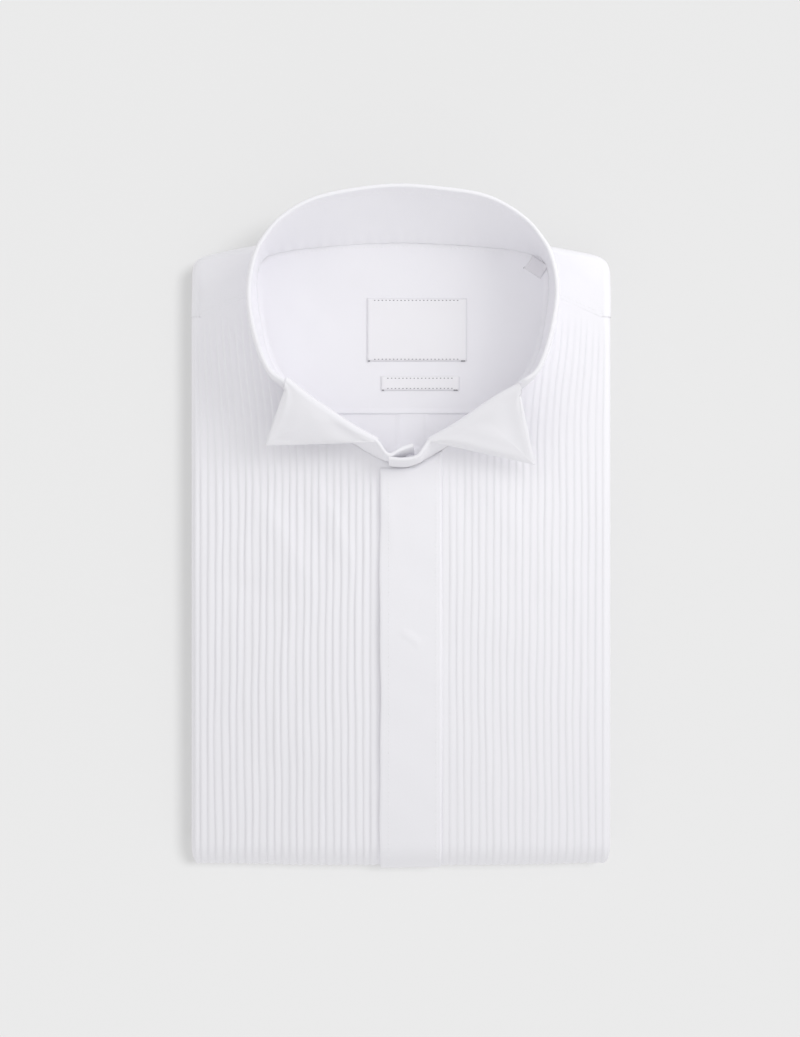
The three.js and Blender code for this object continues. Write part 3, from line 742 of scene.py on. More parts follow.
@dataclass(frozen=True)
class TuckedFront:
    """One front panel in narrow tucks, from its seam to the waist and round the fold there.

    Attributes:
        name: the node and the piece.
        side: -1 for the wearer's right, 1 for the left.
        inner: where the first tuck starts.
        tucks: how many there are.
        pitch: from one to the next.
        under: flat columns beneath the placket.
        relief: soft folds of the panel.
        rise: height of a tuck.
        placket_edge_shadow: strength of the painted shadow beside the placket's free edge.
        crease_shade_strength: strength of the painted shade in the valleys between the tucks.
        fade: length over which the tucks open below their seam.
        drift: how far they spread outwards on the way down.
        sway: slow waves of their lines.
        section: height across one tuck.
        phases: where in a tuck the columns stand.
        margin: length hidden under the yoke.
    """

    name: str
    side: int
    inner: float
    tucks: int
    pitch: float
    under: tuple[float, ...]
    relief: Relief
    rise: float = 0.5
    placket_edge_shadow: float = 0.0
    crease_shade_strength: float = 1.0
    fade: float = 22.0
    drift: float = 6.5
    sway: tuple[Wave, ...] = ()
    section: Points = (
        (0, 0.0), (0.06, 0.2), (0.13, 0.58), (0.21, 0.88), (0.3, 1.0), (0.41, 0.97),
        (0.52, 0.84), (0.63, 0.64), (0.74, 0.4), (0.85, 0.17), (0.93, 0.04), (1, 0.0),
    )
    phases: tuple[float, ...] = (0, 0.06, 0.13, 0.21, 0.3, 0.41, 0.52, 0.63, 0.74, 0.85, 0.93)
    margin: float = 2.4
    # Painted shade in the valleys between tucks: (strength, half width) of a broad and a narrow band.
    broad_crease_shade: tuple[float, float] = (0.22, 0.24)
    fine_crease_shade: tuple[float, float] = (0.16, 0.07)
    rows: int = 214
    turn_rows: int = 22

    def spread(self, out: Array, y: Array) -> Array:
        """Returns how far the tucks have spread outwards."""
        share = np.clip((out - self.inner) / (FORM.half - self.inner), 0, 1)
        return self.drift * 4 * share * (1 - share) * ease((y - 45) / 75)

    def _columns(self) -> tuple[Array, Array]:
        """Returns each column's distance outwards and its place in its tuck (-1 if flat)."""
        phases = self.phases if self.side > 0 else tuple(sorted((1 - p) % 1 for p in self.phases))
        outs = [self.side * x for x in self.under]
        places = [-1.0] * len(outs)
        for k in range(self.tucks):
            for phase in phases:
                outs.append(self.inner + self.pitch * (k + phase))
                places.append(k + phase)
        last = self.inner + self.pitch * self.tucks
        for share in (0, 0.3, 0.6, 1):
            outs.append(mix(last, FORM.lip_end, share))
            places.append(-1.0 if share else float(self.tucks))
        return np.array(outs), np.array(places)

    def grid(self) -> tuple[Array, Array, Array]:
        """Returns the panel's points, painted shade and places on the cloth."""
        outs, places = self._columns()
        out, place = outs[None, :], places[None, :]
        inner_start = FORM.front_start(self.side * out)
        start = FORM.front_start(self.side * (out + self.spread(out, inner_start)))
        seam = np.abs(self.side * out - FORM.neck_middle) >= FORM.neck_side
        top = start + np.where(seam, self.margin, 0.0)
        shares = np.linspace(0, 1, self.rows)[:, None] ** 1.04
        flat_y = mix(top, FORM.y_turn, shares)
        turns = np.linspace(0, math.pi, self.turn_rows + 1)[1:, None]
        y = np.concatenate([flat_y, np.full((self.turn_rows, len(outs)), FORM.y_turn)])
        turn = np.concatenate([np.zeros_like(flat_y), np.broadcast_to(turns, (self.turn_rows, len(outs)))])
        run = y - turn * FORM.bundle
        sway = sum((wave(out, run) for wave in self.sway), np.zeros_like(run))
        sway = sway + 0.17 * np.sin(2.1 * place + run / 41) + 0.1 * np.sin(4.7 * place - run / 17 + 1.2)
        inside = ease((out - self.inner) / 10) * (1 - ease((out - FORM.flat + 9) / 9))
        distance = self.side * (out + self.spread(out, y)) + sway * inside
        index = np.floor(np.maximum(place, 0))
        phase = np.where(place < 0, 0.0, place - index)
        phase = phase if self.side > 0 else (1 - phase) % 1
        opened = ease((start - y) / self.fade)
        beside = 1 - ease((out - FORM.flat - 1.5) / 5)
        beneath = 1 - ease((turn - 1.9) / 0.9)
        calm = 1 - 0.42 * ease((y - 12) / 48)
        kept = opened * beside * beneath * calm * (place >= 0)
        uneven = 1 + 0.16 * np.sin(run / 31 + index * 1.9) + 0.12 * np.sin(run / 13.7 + index * 2.7)
        lift = TableCurve(self.section)(phase) * self.rise * kept * uneven
        # Painted shade: darker towards each valley between tucks, unevenly along the run.
        near = np.minimum(phase, 1 - phase)
        crease_shade_strength = 0.68 + 0.26 * np.sin(run / 23 + index * 2.3) + 0.16 * np.sin(run / 8.7 + index * 4.1)
        painted_shade = sum(depth * bump_at(near, width) for depth, width in (self.broad_crease_shade, self.fine_crease_shade))
        painted_shade = painted_shade * kept * crease_shade_strength * self.crease_shade_strength
        # Painted shadow of the placket's free edge on the panel beside it.
        painted_shade = painted_shade + self.placket_edge_shadow * bump_at(distance + 13.2, 3.0) * (y < 40)
        soft = self.relief(distance, run) * (1 - ease((out - FORM.flat + 4) / 6)) * (1 - ease((turn - 1.2) / 1.2))
        soft = soft * ease((start - y - 1) / 12)
        tucked = (-0.05 * ease((y - start + 1.4) / 2.2) - 0.6 * ease((y - start - 0.3) / 1.8)) * seam
        points = FORM.face(distance, y, turn)
        points = points + FORM.face_normal(distance, y, turn) * (lift + soft + tucked)[..., None]
        cloth = np.stack([distance, -run], axis=-1)
        return points, painted_shade, cloth

    def build(self, finishes: Finishes) -> bpy.types.Object:
        """Args:
            finishes: the shirt's finishes.

        Returns:
            The panel.
        """
        points, painted_shade, cloth = self.grid()
        mesh = ClothMesh(f"{self.name}_cloth")
        mesh.grid(points, painted_shade, flip=self.side < 0, cloth=cloth)
        panel = mesh.make(finishes.cotton)
        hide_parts(self.name)
        return panel


@dataclass(frozen=True)
class Placket:
    """The strip down the front that hides the buttons."""

    left: float = -11.1
    right: float = 21.2
    lift: float = 0.3
    thick: float = 1.5
    wrap: float = 0.9 * math.pi
    rows: int = 230
    turn_rows: int = 20
    relief: Relief = Relief()

    def _section(self) -> tuple[Array, Array, Array]:
        """Returns x, height above the front and painted shade across the strip, darker at both edges."""
        top = self.lift + self.thick
        rows = [
            # The third value of each row is painted shade at the strip's free edge and at its sewn edge.
            (self.left + 0.5, 0.0, 0.3), (self.left + 0.06, 0.25, 0.25), (self.left, 0.7, 0.1),
            (self.left + 0.03, 1.15, 0.0), (self.left + 0.2, 1.5, 0.0), (self.left + 0.55, 1.72, 0.0),
        ]
        rows += [(float(x), top, 0.0) for x in np.linspace(self.left + 1.2, self.right - 2.4, 26)]
        rows += [
            (self.right - 1.9, top - 0.02, 0.0), (self.right - 1.5, top - 0.14, 0.05),
            (self.right - 1.2, top - 0.2, 0.1), (self.right - 0.9, top - 0.16, 0.0),
            (self.right - 0.5, top - 0.3, 0.0), (self.right - 0.15, top - 0.62, 0.0),
            (self.right + 0.1, 0.75, 0.0), (self.right + 0.5, 0.3, 0.1),
            (self.right + 0.9, 0.02, 0.2), (self.right + 1.3, -0.3, 0.3),
        ]
        return tuple(np.array(rows, float).T)

    def build(self, finishes: Finishes) -> tuple[bpy.types.Object, bpy.types.Object]:
        """Makes the strip.

        Args:
            finishes: the shirt's finishes.

        Returns:
            The strip and its stitches.
        """
        x, height, painted_shading = (values[None, :] for values in self._section())
        start = FORM.front_neck(np.maximum(x, FORM.neck_middle)) - 1.4
        shares = np.linspace(0, 1, self.rows)[:, None]
        flat_y = mix(start, FORM.y_turn, shares)
        turns = np.linspace(0, self.wrap, self.turn_rows + 1)[1:, None]
        y = np.concatenate([flat_y, np.full((self.turn_rows, x.shape[1]), FORM.y_turn)])
        turn = np.concatenate([np.zeros_like(flat_y), np.broadcast_to(turns, (self.turn_rows, x.shape[1]))])
        run = y - turn * FORM.bundle
        first = np.concatenate([[0.15, 0.75, 0.93], np.ones(len(y) - 3)])[:, None]
        soft = self.relief(np.broadcast_to(x, run.shape), run) * np.clip(height / 1.8, 0, 1)
        edge_sway = 0.25 * np.sin(run / 19) + 0.15 * np.sin(run / 7.3 + 1)
        nearness = np.clip(1 - (x - self.left) / 6, 0, 1)
        distance = x + edge_sway * nearness
        points = FORM.face(distance, y, turn)
        points = points + FORM.face_normal(distance, y, turn) * (height * first + soft)[..., None]
        mesh = ClothMesh("placket_cloth")
        cloth = np.stack(np.broadcast_arrays(x * 1.0, -run), axis=-1)
        mesh.grid(points, np.broadcast_to(painted_shading, run.shape), cloth=cloth)
        strip = mesh.make(finishes.cotton)
        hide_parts("placket")
        seams = [self._seam(self.right - 2.7, 0.0), self._seam(self.left + 4.6, 3.0)]
        return strip, sew("placket", seams, finishes.thread)

    def _seam(self, x: float, back: float) -> Seam:
        """Returns a seam down the strip at x, starting a little lower."""
        start = float(FORM.front_neck(max(x, FORM.neck_middle))) - 4.0 - back
        flat = np.linspace(start, FORM.y_turn, 160)
        turn = np.concatenate([np.zeros(160), np.linspace(0, 0.86 * math.pi, 26)[1:]])
        y = np.concatenate([flat, np.full(25, FORM.y_turn)])
        across = np.full_like(y, x)
        up = FORM.face_normal(across, y, turn)
        run = y - turn * FORM.bundle
        height = self.lift + self.thick + self.relief(across, run)
        return Seam(FORM.face(across, y, turn) + up * height[:, None], up)


# ---------------------------------------------------------------- yoke


@dataclass(frozen=True)
class Yoke:
    """The outer yoke, over both shoulders and rolled round the top of the bundle."""

    relief: Relief
    half: Points = (
        (111.5, 114.1, 107.4, 114.1), (111.5, 124, 103.5, 115.9), (111.5, 133, 99.5, 117.7),
        (111.3, 138.6, 96, 119.2), (110.2, 142.6, 93, 120.6), (107.6, 145.3, 90, 121.9),
        (104, 146.9, 87, 123.3), (97, 148.4, 83.6, 124.8), (89, 150, 79.4, 126.7),
        (84, 151, 79.4, 134), (79, 152, 78, 141.4), (74, 153, 74.5, 145.8), (67, 154.4, 68, 148.1),
        (57, 156.2, 57.6, 150.3), (43, 158, 43, 151.9), (24, 159.4, 24, 153.3), (0, 160, 0, 154.1),
    )
    columns: int = 360

    def _stations(self) -> Array:
        """Returns edge and start points round the yoke, finely and smoothly."""
        left = np.array(self.half, float)
        right = left[:-1][::-1].copy()
        right[:, 0] *= -1
        at_seam = right[:, 3] < FORM.seam_y
        right[:, 2] = np.where(at_seam, 0.0, 2 * FORM.neck_middle) - right[:, 2]
        every = np.concatenate([left, right])
        path = PathCurve(every, measure=slice(0, 4))
        return path(np.linspace(0, path.length, self.columns))

    def build(self, finishes: Finishes) -> tuple[bpy.types.Object, bpy.types.Object]:
        """Makes the yoke.

        Args:
            finishes: the shirt's finishes.

        Returns:
            The yoke and its stitches.
        """
        stations = self._stations()
        edge, start = stations[:, :2], stations[:, 2:4]
        ahead = unit(np.gradient(edge, axis=0))
        outward = np.stack([ahead[:, 1], -ahead[:, 0]], axis=-1)
        outward[0], outward[-1] = (1, 0), (-1, 0)
        inner = edge - outward * FORM.lip_reach
        inwards = unit(start - inner + 1e-6 * outward)
        seam = (start[:, 1] < FORM.seam_y - 0.05).astype(float)
        room = np.clip(np.linalg.norm(start - inner, axis=1, keepdims=True) / 6, 0, 1)
        rows, heights, painted_shade_rows = [], [], []
        # The third value of each row is painted shade; a faint line of it runs beside the seam.
        for back, height, painted_shade in (
            (0.9, -0.3, 0.0), (0.8, -0.06, 0.0), (0.87, 0.0, 0.0), (0.86, 0.035, 0.0), (0.82, 0.05, 0.0),
            (0.3, 0.055, 0.0), (-0.4, 0.07, 0.0), (-1.3, 0.07, 0.0), (-1.9, 0.05, 0.02), (-2.5, 0.06, 0.0),
        ):
            at = start + inwards * (back * (room if back < 0 else 1.0))
            rows.append(at)
            heights.append(height * seam + (1 - seam) * min(height, 0.0))
            painted_shade_rows.append(painted_shade * seam)
        for share in np.linspace(0.05, 1, 26):
            at = mix(rows[9], inner, share)
            rows.append(at)
            heights.append(0.05 * seam * (1 - ease(share * 6)))
            painted_shade_rows.append(0 * seam)
        top = [
            np.concatenate([at, (FORM.mid + FORM.crown_height(at[:, 0]) + height)[:, None]], axis=1)
            for at, height in zip(rows, heights)
        ]
        rise = FORM.crown_height(inner[:, 0]) / 2
        for degrees in (76, 62, 48, 34, 20, 6, -8, -22, -36, -50, -64):
            angle = math.radians(degrees)
            at = inner + outward * FORM.lip_reach * math.cos(angle)
            top.append(np.concatenate([at, (FORM.mid + rise + rise * math.sin(angle))[:, None]], axis=1))
            painted_shade_rows.append(0 * seam)
        points = np.stack(top)
        normals = grid_normals(points)
        normals *= np.where(normals[15, :, 2:3] < 0, -1, 1)[None]
        soft = self.relief(points[..., 0], points[..., 1])
        fadeout = np.ones(len(points))
        fadeout[:18] = ease(np.linspace(0, 1, 18))
        fadeout[-6:] = np.linspace(1, 0, 6)
        points = points + normals * (soft * fadeout[:, None])[..., None]
        mesh = ClothMesh("yoke_cloth")
        mesh.grid(points, np.stack(painted_shade_rows))
        made = mesh.make(finishes.cotton)
        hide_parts("yoke")
        sewn = np.flatnonzero(seam)
        ends = (sewn[sewn < len(seam) // 2], sewn[sewn > len(seam) // 2])
        up = np.array([[0.0, 0.0, 1.0]])
        return made, sew("yoke", [Seam(points[7, i], up.repeat(len(i), axis=0)) for i in ends], finishes.thread)


# ---------------------------------------------------------------- inside of the neck


@dataclass(frozen=True)
class NeckInside:
    """The inner yoke and the strip of the back below it, seen through the neck."""

    relief: Relief
    half_width: float = 79.4
    columns: int = 270
    rows: int = 150
    pleat: tuple[float, float] = (-2.7, 12.7)
    below_yoke: float = 0.45
    pushed_up: tuple[float, ...] = (4.5, 39.3, 13.0, 5.6, 3.3)

    def height(self, x: Array, y: Array) -> Array:
        """Returns the height of the cloth's face, which rises to meet the band."""
        across, bottom = np.array(FORM.neck_front).T
        edge = TableCurve(tuple(zip(bottom, across)))(y)
        beyond = np.abs(x - FORM.neck_middle) - edge
        seam = FORM.mid + FORM.crown_height(x) + 0.25
        rise = ease((beyond + 3.6) / 3.4) * (1 - ease((beyond - 0.4) / 0.7)) * (y > 44)
        plain = FORM.inside_height(x, y) + self.relief(x, y)
        return mix(plain, seam, rise) + 0.4 * (1 - ease((FORM.back_neck(x) - y) / 2.6))

    def _rows(self, x: Array, share: Array, from_y: Array, to_y: Array) -> Array:
        y = mix(from_y, to_y, share)
        return np.stack([np.broadcast_to(x, y.shape), y, self.height(x, y)], axis=-1)

    def build(self, finishes: Finishes) -> tuple[bpy.types.Object, bpy.types.Object, bpy.types.Object]:
        """Makes both pieces.

        Args:
            finishes: the shirt's finishes.

        Returns:
            The inner yoke, the back and the stitches.
        """
        x = FORM.neck_middle + np.linspace(-self.half_width, self.half_width, self.columns)[None, :]
        back = FORM.back_neck(x) - 0.4
        front = np.minimum(FORM.front_neck(x) - 4, back - 3)
        share = np.linspace(0, 1, self.rows)[:, None]
        upper = self._rows(x, share, back, np.maximum(FORM.back_seam_y, front))
        hem = upper[-1:].copy()
        folded = [(0.25, 0.05), (0.35, -0.25), (0.1, -0.7)]
        edges = [hem + np.array([0, -out, drop]) for out, drop in folded]
        near_seam = bump_at(upper[..., 1] - FORM.back_seam_y, 2.2) * 0.3
        upper[..., 2] += near_seam
        yoke_mesh = ClothMesh("yoke_inside_cloth")
        yoke_mesh.grid(np.concatenate([upper, *edges]))
        yoke = yoke_mesh.make(finishes.inside)
        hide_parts("yoke_inside")
        wide = x[:, (front[0] < FORM.back_seam_y - 1)]
        low = np.minimum(FORM.front_neck(wide) - 4, FORM.back_neck(wide) - 4)
        lower = self._rows(wide, np.linspace(0, 1, 40)[:, None], np.full_like(wide, FORM.back_seam_y + 1.4), low)
        left, right = self.pleat
        shape = 0.3 * (ease((lower[..., 0] - left) / 2.4) - ease((lower[..., 0] - right) / 2.4))
        at_x, at_y, height, wide_x, wide_y = self.pushed_up
        pushed = height * bump_at(lower[..., 0] - at_x, wide_x) * bump_at(lower[..., 1] - at_y, wide_y)
        lower[..., 2] += shape - self.below_yoke + pushed
        # Painted shade along the two folds of the back's pleat.
        painted_shading = bump_at(lower[..., 0] - left, 0.9) + bump_at(lower[..., 0] - right, 0.9)
        back_mesh = ClothMesh("back_inside_cloth")
        back_mesh.grid(lower, np.clip(0.12 * painted_shading, 0, 1))
        made = back_mesh.make(finishes.inside)
        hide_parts("back_inside")
        return yoke, made, sew("yoke_inside", [self._neck_seam(), self._hem_seam()], finishes.thread)

    def _seam(self, x: Array, y: Array) -> Seam:
        """Returns a seam through places on the cloth."""
        line = np.stack([x, y, self.height(x, y)], axis=-1)
        return Seam(line, np.array([[0.0, 0.0, 1.0]]).repeat(len(line), axis=0))

    def _neck_seam(self) -> Seam:
        """Returns the seam along the neck."""
        x = FORM.neck_middle + np.linspace(-70, 70, 120)
        return self._seam(x, FORM.back_neck(x) - 2.6)

    def _hem_seam(self) -> Seam:
        """Returns the seam above the lower edge."""
        x = FORM.neck_middle + np.linspace(-46, 46, 80)
        return self._seam(x, np.full_like(x, FORM.back_seam_y + 1.7))


@dataclass(frozen=True)
class SewnLabel:
    """A small piece of tape or satin sewn flat on the inner yoke."""

    name: str
    x: float
    y: float
    width: float
    length: float
    turn: float = 0.0
    lift: float = 0.2
    thick: float = 0.4
    slot: str = "label"
    edge_shade: float = 0.1
    columns: int = 44
    rows: int = 30

    def place(self, across: Array, along: Array, lift: Array | float, inside: NeckInside) -> Array:
        """Returns points on the label.

        Args:
            across: from -0.5 to 0.5 of its width.
            along: from -0.5 to 0.5 of its length.
            lift: height above the cloth.
            inside: what it is sewn to.
        """
        dx, dy = across * self.width, along * self.length
        px = self.x + dx * math.cos(self.turn) - dy * math.sin(self.turn)
        py = self.y + dx * math.sin(self.turn) + dy * math.cos(self.turn)
        return np.stack(np.broadcast_arrays(px, py, inside.height(px, py) + lift), axis=-1)

    def stitches(self, inside: NeckInside, finishes: Finishes) -> bpy.types.Object:
        """Makes the stitches that hold the label.

        Args:
            inside: what it is sewn to.
            finishes: the shirt's finishes.

        Returns:
            The stitches.
        """
        run = StitchRun(pitch=2.0, length=1.0, radius=0.25, sink=0.04)
        from_edge = 1.0 / self.length
        seams = [self._row(-0.46, 0.46, level, inside, run) for level in (0.5 - from_edge, from_edge - 0.5)]
        # Short dark dashes along the lower edge at both corners of the label.
        corner_dash = StitchRun(pitch=1.1, length=1.4, radius=0.34, sink=0.0)
        long, low = 3.6 / self.width, 0.05 / self.length - 0.5
        seams.append(self._row(0.5 - long, 0.5, low, inside, corner_dash))
        seams.append(self._row(-0.5, 0.6 * long - 0.5, low, inside, corner_dash))
        return sew(self.name, seams, finishes.dark_thread)

    def ticks(self, inside: NeckInside, finishes: Finishes) -> bpy.types.Object:
        """Makes the two stitches at the sides of a folded tab.

        Args:
            inside: what it is sewn to.
            finishes: the shirt's finishes.

        Returns:
            The stitches.
        """
        run = StitchRun(pitch=1.0, length=1.5, radius=0.12, sink=0.06)
        seams = []
        for across, low in ((-0.56, -0.6), (0.54, 0.3)):
            line = self.place(np.full(20, across), np.linspace(low, low + 0.22, 20), 0.1, inside)
            seams.append(Seam(line, np.array([[0.0, 0.0, 1.0]]).repeat(20, axis=0), run))
        return sew(self.name, seams, finishes.dark_thread)

    def _row(self, start: float, end: float, level: float, inside: NeckInside, run: StitchRun) -> Seam:
        """Returns a row of stitches along the label."""
        line = self.place(np.linspace(start, end, 60), np.full(60, level), self.lift + self.thick + 0.13, inside)
        return Seam(line, np.array([[0.0, 0.0, 1.0]]).repeat(60, axis=0), run)

    def build(self, inside: NeckInside, material: bpy.types.Material) -> bpy.types.Object:
        """Makes the label, closed and with rounded edges.

        Args:
            inside: what it is sewn to.
            material: its finish.

        Returns:
            The label.
        """
        u = np.linspace(-0.5, 0.5, self.columns)[None, :]
        v = np.linspace(0.5, -0.5, self.rows)[:, None]
        edge = np.minimum((0.5 - np.abs(u)) * self.width, (0.5 - np.abs(v)) * self.length)
        ripple = np.sin(u * self.width * 1.1) * bump_at((0.5 - np.abs(v)) * self.length - 0.8, 0.8)
        puff = 0.14 * ease(edge / 1.6) + 0.05 * ripple
        rounded = np.where(edge <= 1e-6, -0.35 * self.thick, 0.0)
        top = self.place(u, v, self.lift + self.thick + puff + rounded, inside)
        bottom = self.place(u, v, self.lift - 0.3, inside)
        mesh = ClothMesh(f"{self.name}_cloth")
        upper = mesh.grid(top, bump_at(edge, 0.3) * self.edge_shade)
        mesh.join_rims(upper, mesh.grid(bottom, 3 * self.edge_shade, flip=True))
        made = mesh.make(material)
        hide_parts(self.name)
        return made


# ---------------------------------------------------------------- collar


@dataclass(frozen=True)
class Wing:
    """A corner of the band folded over."""

    side: int
    tip: tuple[float, float, float]
    fold_top: tuple[float, float, float]
    tip_share: float


@dataclass(frozen=True)
class Collar:
    """The standing band, crossed at the front, with its two folded wings."""

    cloth: float = 1.7
    bow: float = 1.2
    fold_rows: int = 5
    half: Points = (
        (14.5, 40.7, 14, 48, 40), (26, 47.6, 26.2, 54.6, 46), (38.5, 56.5, 37.8, 62, 52),
        (50.5, 66, 49.4, 69.8, 58), (60, 75, 60.3, 77.2, 63.4), (66, 82, 68.1, 82.4, 64.6),
        (70.5, 89.5, 72.7, 90.9, 65.2), (73.6, 98, 76.2, 102.3, 65.8), (75.8, 109, 78.4, 114.1, 66),
        (77.6, 121, 79.1, 125, 66), (78.2, 132, 78, 135.5, 65.8), (77, 140.8, 74.9, 146, 65.2),
        (73.6, 145.6, 70.6, 153, 64.6), (68, 147.9, 64.8, 160, 63.8), (57.6, 150.1, 54.4, 167.6, 62.8),
        (43, 151.7, 41.6, 173.3, 61.8), (24, 153.1, 24.6, 176.8, 61), (0, 153.9, 0, 178.7, 60.6),
    )
    right_end: Points = ((6.4, 40.5, 6.4, 45.6, 40), (0, 38.2, -0.5, 43.2, 40), (-7.4, 38.2, -6.7, 40.6, 40))
    left_end: Points = (
        (-5.8, 35.6, -6.4, 38.3, 40), (1.6, 34.9, 1, 37.8, 40), (8.6, 36.9, 8.5, 39.4, 40), (12, 38.7, 12, 43.7, 40),
    )
    wings: tuple[Wing, Wing] = (
        Wing(-1, (-71.4, 45.4, 38.6), (-59.6, 78.6, 63), 0.42),
        Wing(1, (70.6, 35.4, 34.8), (61.6, 75.6, 63), 0.44),
    )
    columns: int = 420
    wing_bow: float = 1.6

    def _stations(self) -> Array:
        """Returns rows of base x, y, z and top x, y, z from the wearer's right end to the left."""
        right = [(FORM.neck_middle - bx, by, FORM.neck_middle - tx, ty, tz) for bx, by, tx, ty, tz in self.half]
        left = [(FORM.neck_middle + bx, by, FORM.neck_middle + tx, ty, tz) for bx, by, tx, ty, tz in self.half]
        every = np.array([*self.right_end, *right, *left[::-1][1:], *self.left_end[::-1]], float)
        base_z = FORM.mid + FORM.crown_height(every[:, 0]) + FORM.gap
        return np.column_stack([every[:, 0], every[:, 1], base_z, every[:, 2:]])

    def band(self) -> tuple[Array, Array, Array]:
        """Returns base points, top points and the way inwards, finely."""
        path = PathCurve(self._stations(), measure=slice(0, 6))
        fine = path(np.linspace(0, path.length, self.columns))
        base, top = fine[:, :3], fine[:, 3:6]
        out = np.abs(top[:, 0] - FORM.neck_middle)
        folded = ease((out - 15) / 5) * ease((63 - out) / 5) * (top[:, 1] < 81)
        top = mix(top, base, 0.09 * folded[:, None])
        ahead = unit(np.gradient(base[:, :2], axis=0) + 0.0)
        inwards = np.stack([ahead[:, 1], -ahead[:, 0], np.zeros(len(ahead))], axis=-1)
        return base, top, inwards

    def _band_mesh(self, mesh: ClothMesh) -> Seam:
        """Adds the band: outer face, rounded top edge, inner face. Returns the seam below its top."""
        base, top, inwards = self.band()
        run = np.concatenate([[0], np.cumsum(np.linalg.norm(np.diff(base, axis=0), axis=1))])
        tall = top[:, 2] - base[:, 2]
        half = self.cloth / 2
        loops, painted_shading = [], []
        sides = [(-1.0, share) for share in np.linspace(0, 1, 18)[:-1]]
        over = [(-math.cos(a), 1 + math.sin(a)) for a in np.linspace(0, math.pi, 9)]
        back = [(1.0, share) for share in np.linspace(1, 0, 18)[1:]]
        for across, share in sides + over + back:
            level = min(share, 1.0)
            bow = self.bow * 4 * level * (1 - level) * (tall / (2 * FORM.bundle))
            sag = 0.28 * np.sin(run / 17.0 + 0.6) * math.sin(math.pi * level) + 0.2 * np.sin(run / 8.3) * level
            pucker = 0.22 * np.sin(run / 1.05) * math.exp(-(((level * 25) - 1.5) / 1.6) ** 2)
            rim = 0.25 * math.exp(-(((1 - level) * 25 - 0.6) / 1.4) ** 2)
            middle = mix(base, top, level) - inwards * (bow + sag)[:, None]
            reach = across * (half + rim + (pucker if across > 0 else pucker * 0.6))
            at = middle + inwards * np.broadcast_to(reach, tall.shape)[:, None]
            at[:, 2] += half * max(share - 1, 0)
            loops.append(at)
            # Painted shade along the foot of the band, stronger on its inner face.
            painted_shading.append(math.exp(-((level * 25) / 1.2) ** 2) * (0.1 if across > 0 else 0.06))
        points = np.stack(loops, axis=1)
        mesh.grid(points, np.broadcast_to(np.array(painted_shading)[None, :], points.shape[:2]))
        self._close_ends(mesh, points, flip=False)
        below = slice(96, -96)
        return Seam(points[below, len(sides) + len(over) + 1], inwards[below])

    @staticmethod
    def _close_ends(mesh: ClothMesh, points: Array, flip: bool) -> None:
        """Closes the two open ends of a strip whose rows run round its edge."""
        for end, turned in ((0, not flip), (-1, flip)):
            ring = points[end]
            count = len(ring) // 2
            outer, inner = ring[:count], ring[::-1][:count]
            mesh.grid(np.stack([outer, (outer + inner) / 2, inner], axis=1), flip=turned)

    def wing_root(self, wing: Wing, share: Array) -> Array:
        """Returns points on the fold's line."""
        rows = self.half[: self.fold_rows][::-1]
        fold = np.array([(FORM.neck_middle + wing.side * tx, ty, tz - 0.9) for _, _, tx, ty, tz in rows])
        fold[0] = np.array(wing.fold_top) + (0, 0, -0.4)
        path = PathCurve(fold)
        return path(share * path.length)

    @staticmethod
    def wing_unevenness(wing: Wing, share: Array, level: float) -> Array:
        """Returns how far a wing's face rises or sinks at shares of its fold and a level from it."""
        inside = ease(level / 0.2) * ease((1 - level) / 0.2) * np.sin(np.pi * share) ** 0.5
        broad = 0.55 * np.sin(6.1 * share + 3.4 * level + wing.side) - 0.4 * np.sin(11.3 * share - 5.2 * level + 0.7)
        return inside * (broad + 0.16 * np.sin(19.0 * share + 11.0 * level * wing.side))

    def _wing_mesh(self, wing: Wing, mesh: ClothMesh) -> list[Seam]:
        """Adds a wing and returns the seams beside its free edges."""
        shares = np.unique(np.concatenate([np.linspace(0, 1, 66), [wing.tip_share]]))
        root = self.wing_root(wing, shares)
        first = self.wing_root(wing, np.array([0.02]))[0] + (wing.side * 0.6, -2.2, -1.2)
        last = self.wing_root(wing, np.array([0.98]))[0] + (wing.side * 1.6, -1.6, -0.4)
        tip = np.array(wing.tip)
        before = shares < wing.tip_share
        to_tip = (shares / wing.tip_share)[:, None]
        from_tip = ((shares - wing.tip_share) / (1 - wing.tip_share))[:, None]
        edge = np.where(before[:, None], mix(first, tip, to_tip), mix(tip, last, from_tip))
        plane = unit(np.cross(tip - root[0], root[-1] - root[0]))
        up = plane if plane[2] > 0 else -plane
        outward = unit(edge - root)
        near, far = unit(tip - first), unit(tip - last)
        flat_out = np.where(before[:, None], np.cross(near, up), np.cross(far, up))
        flat_out = flat_out * np.sign((flat_out * outward).sum(axis=1))[:, None]
        at_tip = bump_at(shares - wing.tip_share, 0.01)[:, None]
        flat_out = unit(mix(flat_out, outward, at_tip))
        half = self.cloth / 2
        inward = np.array([-wing.side * 0.75, 0.66, 0.0])
        reach = np.linalg.norm(edge - root, axis=1)[:, None]
        columns, painted_shading = [], []
        for inn, z in ((1.9, -3.4), (1.85, -1.6), (1.6, -0.1), (1.05, 0.95), (0.2, 1.45)):
            columns.append(root + inward * inn + np.array([0, 0, z]))
            painted_shading.append(0.0)
        levels = np.concatenate([[0.02], np.linspace(0.06, 1, 30)])
        for level in levels:
            bow = self.wing_bow * 4 * level * (1 - level) * np.sin(np.pi * shares)
            roll = 0.6 * np.exp(-((level * reach[:, 0]) / 3.6) ** 2)
            rim = 0.1 * np.exp(-(((1 - level) * reach[:, 0] - 0.9) / 1.3) ** 2)
            seam = -0.06 * np.exp(-(((1 - level) * reach[:, 0] - 3.2) / 1.0) ** 2)
            middle = mix(root, edge - flat_out * half, level)
            soft = self.wing_unevenness(wing, shares, level)
            columns.append(middle + up * (bow + half + roll + rim + seam + soft)[:, None])
            painted_shading.append(0.0)
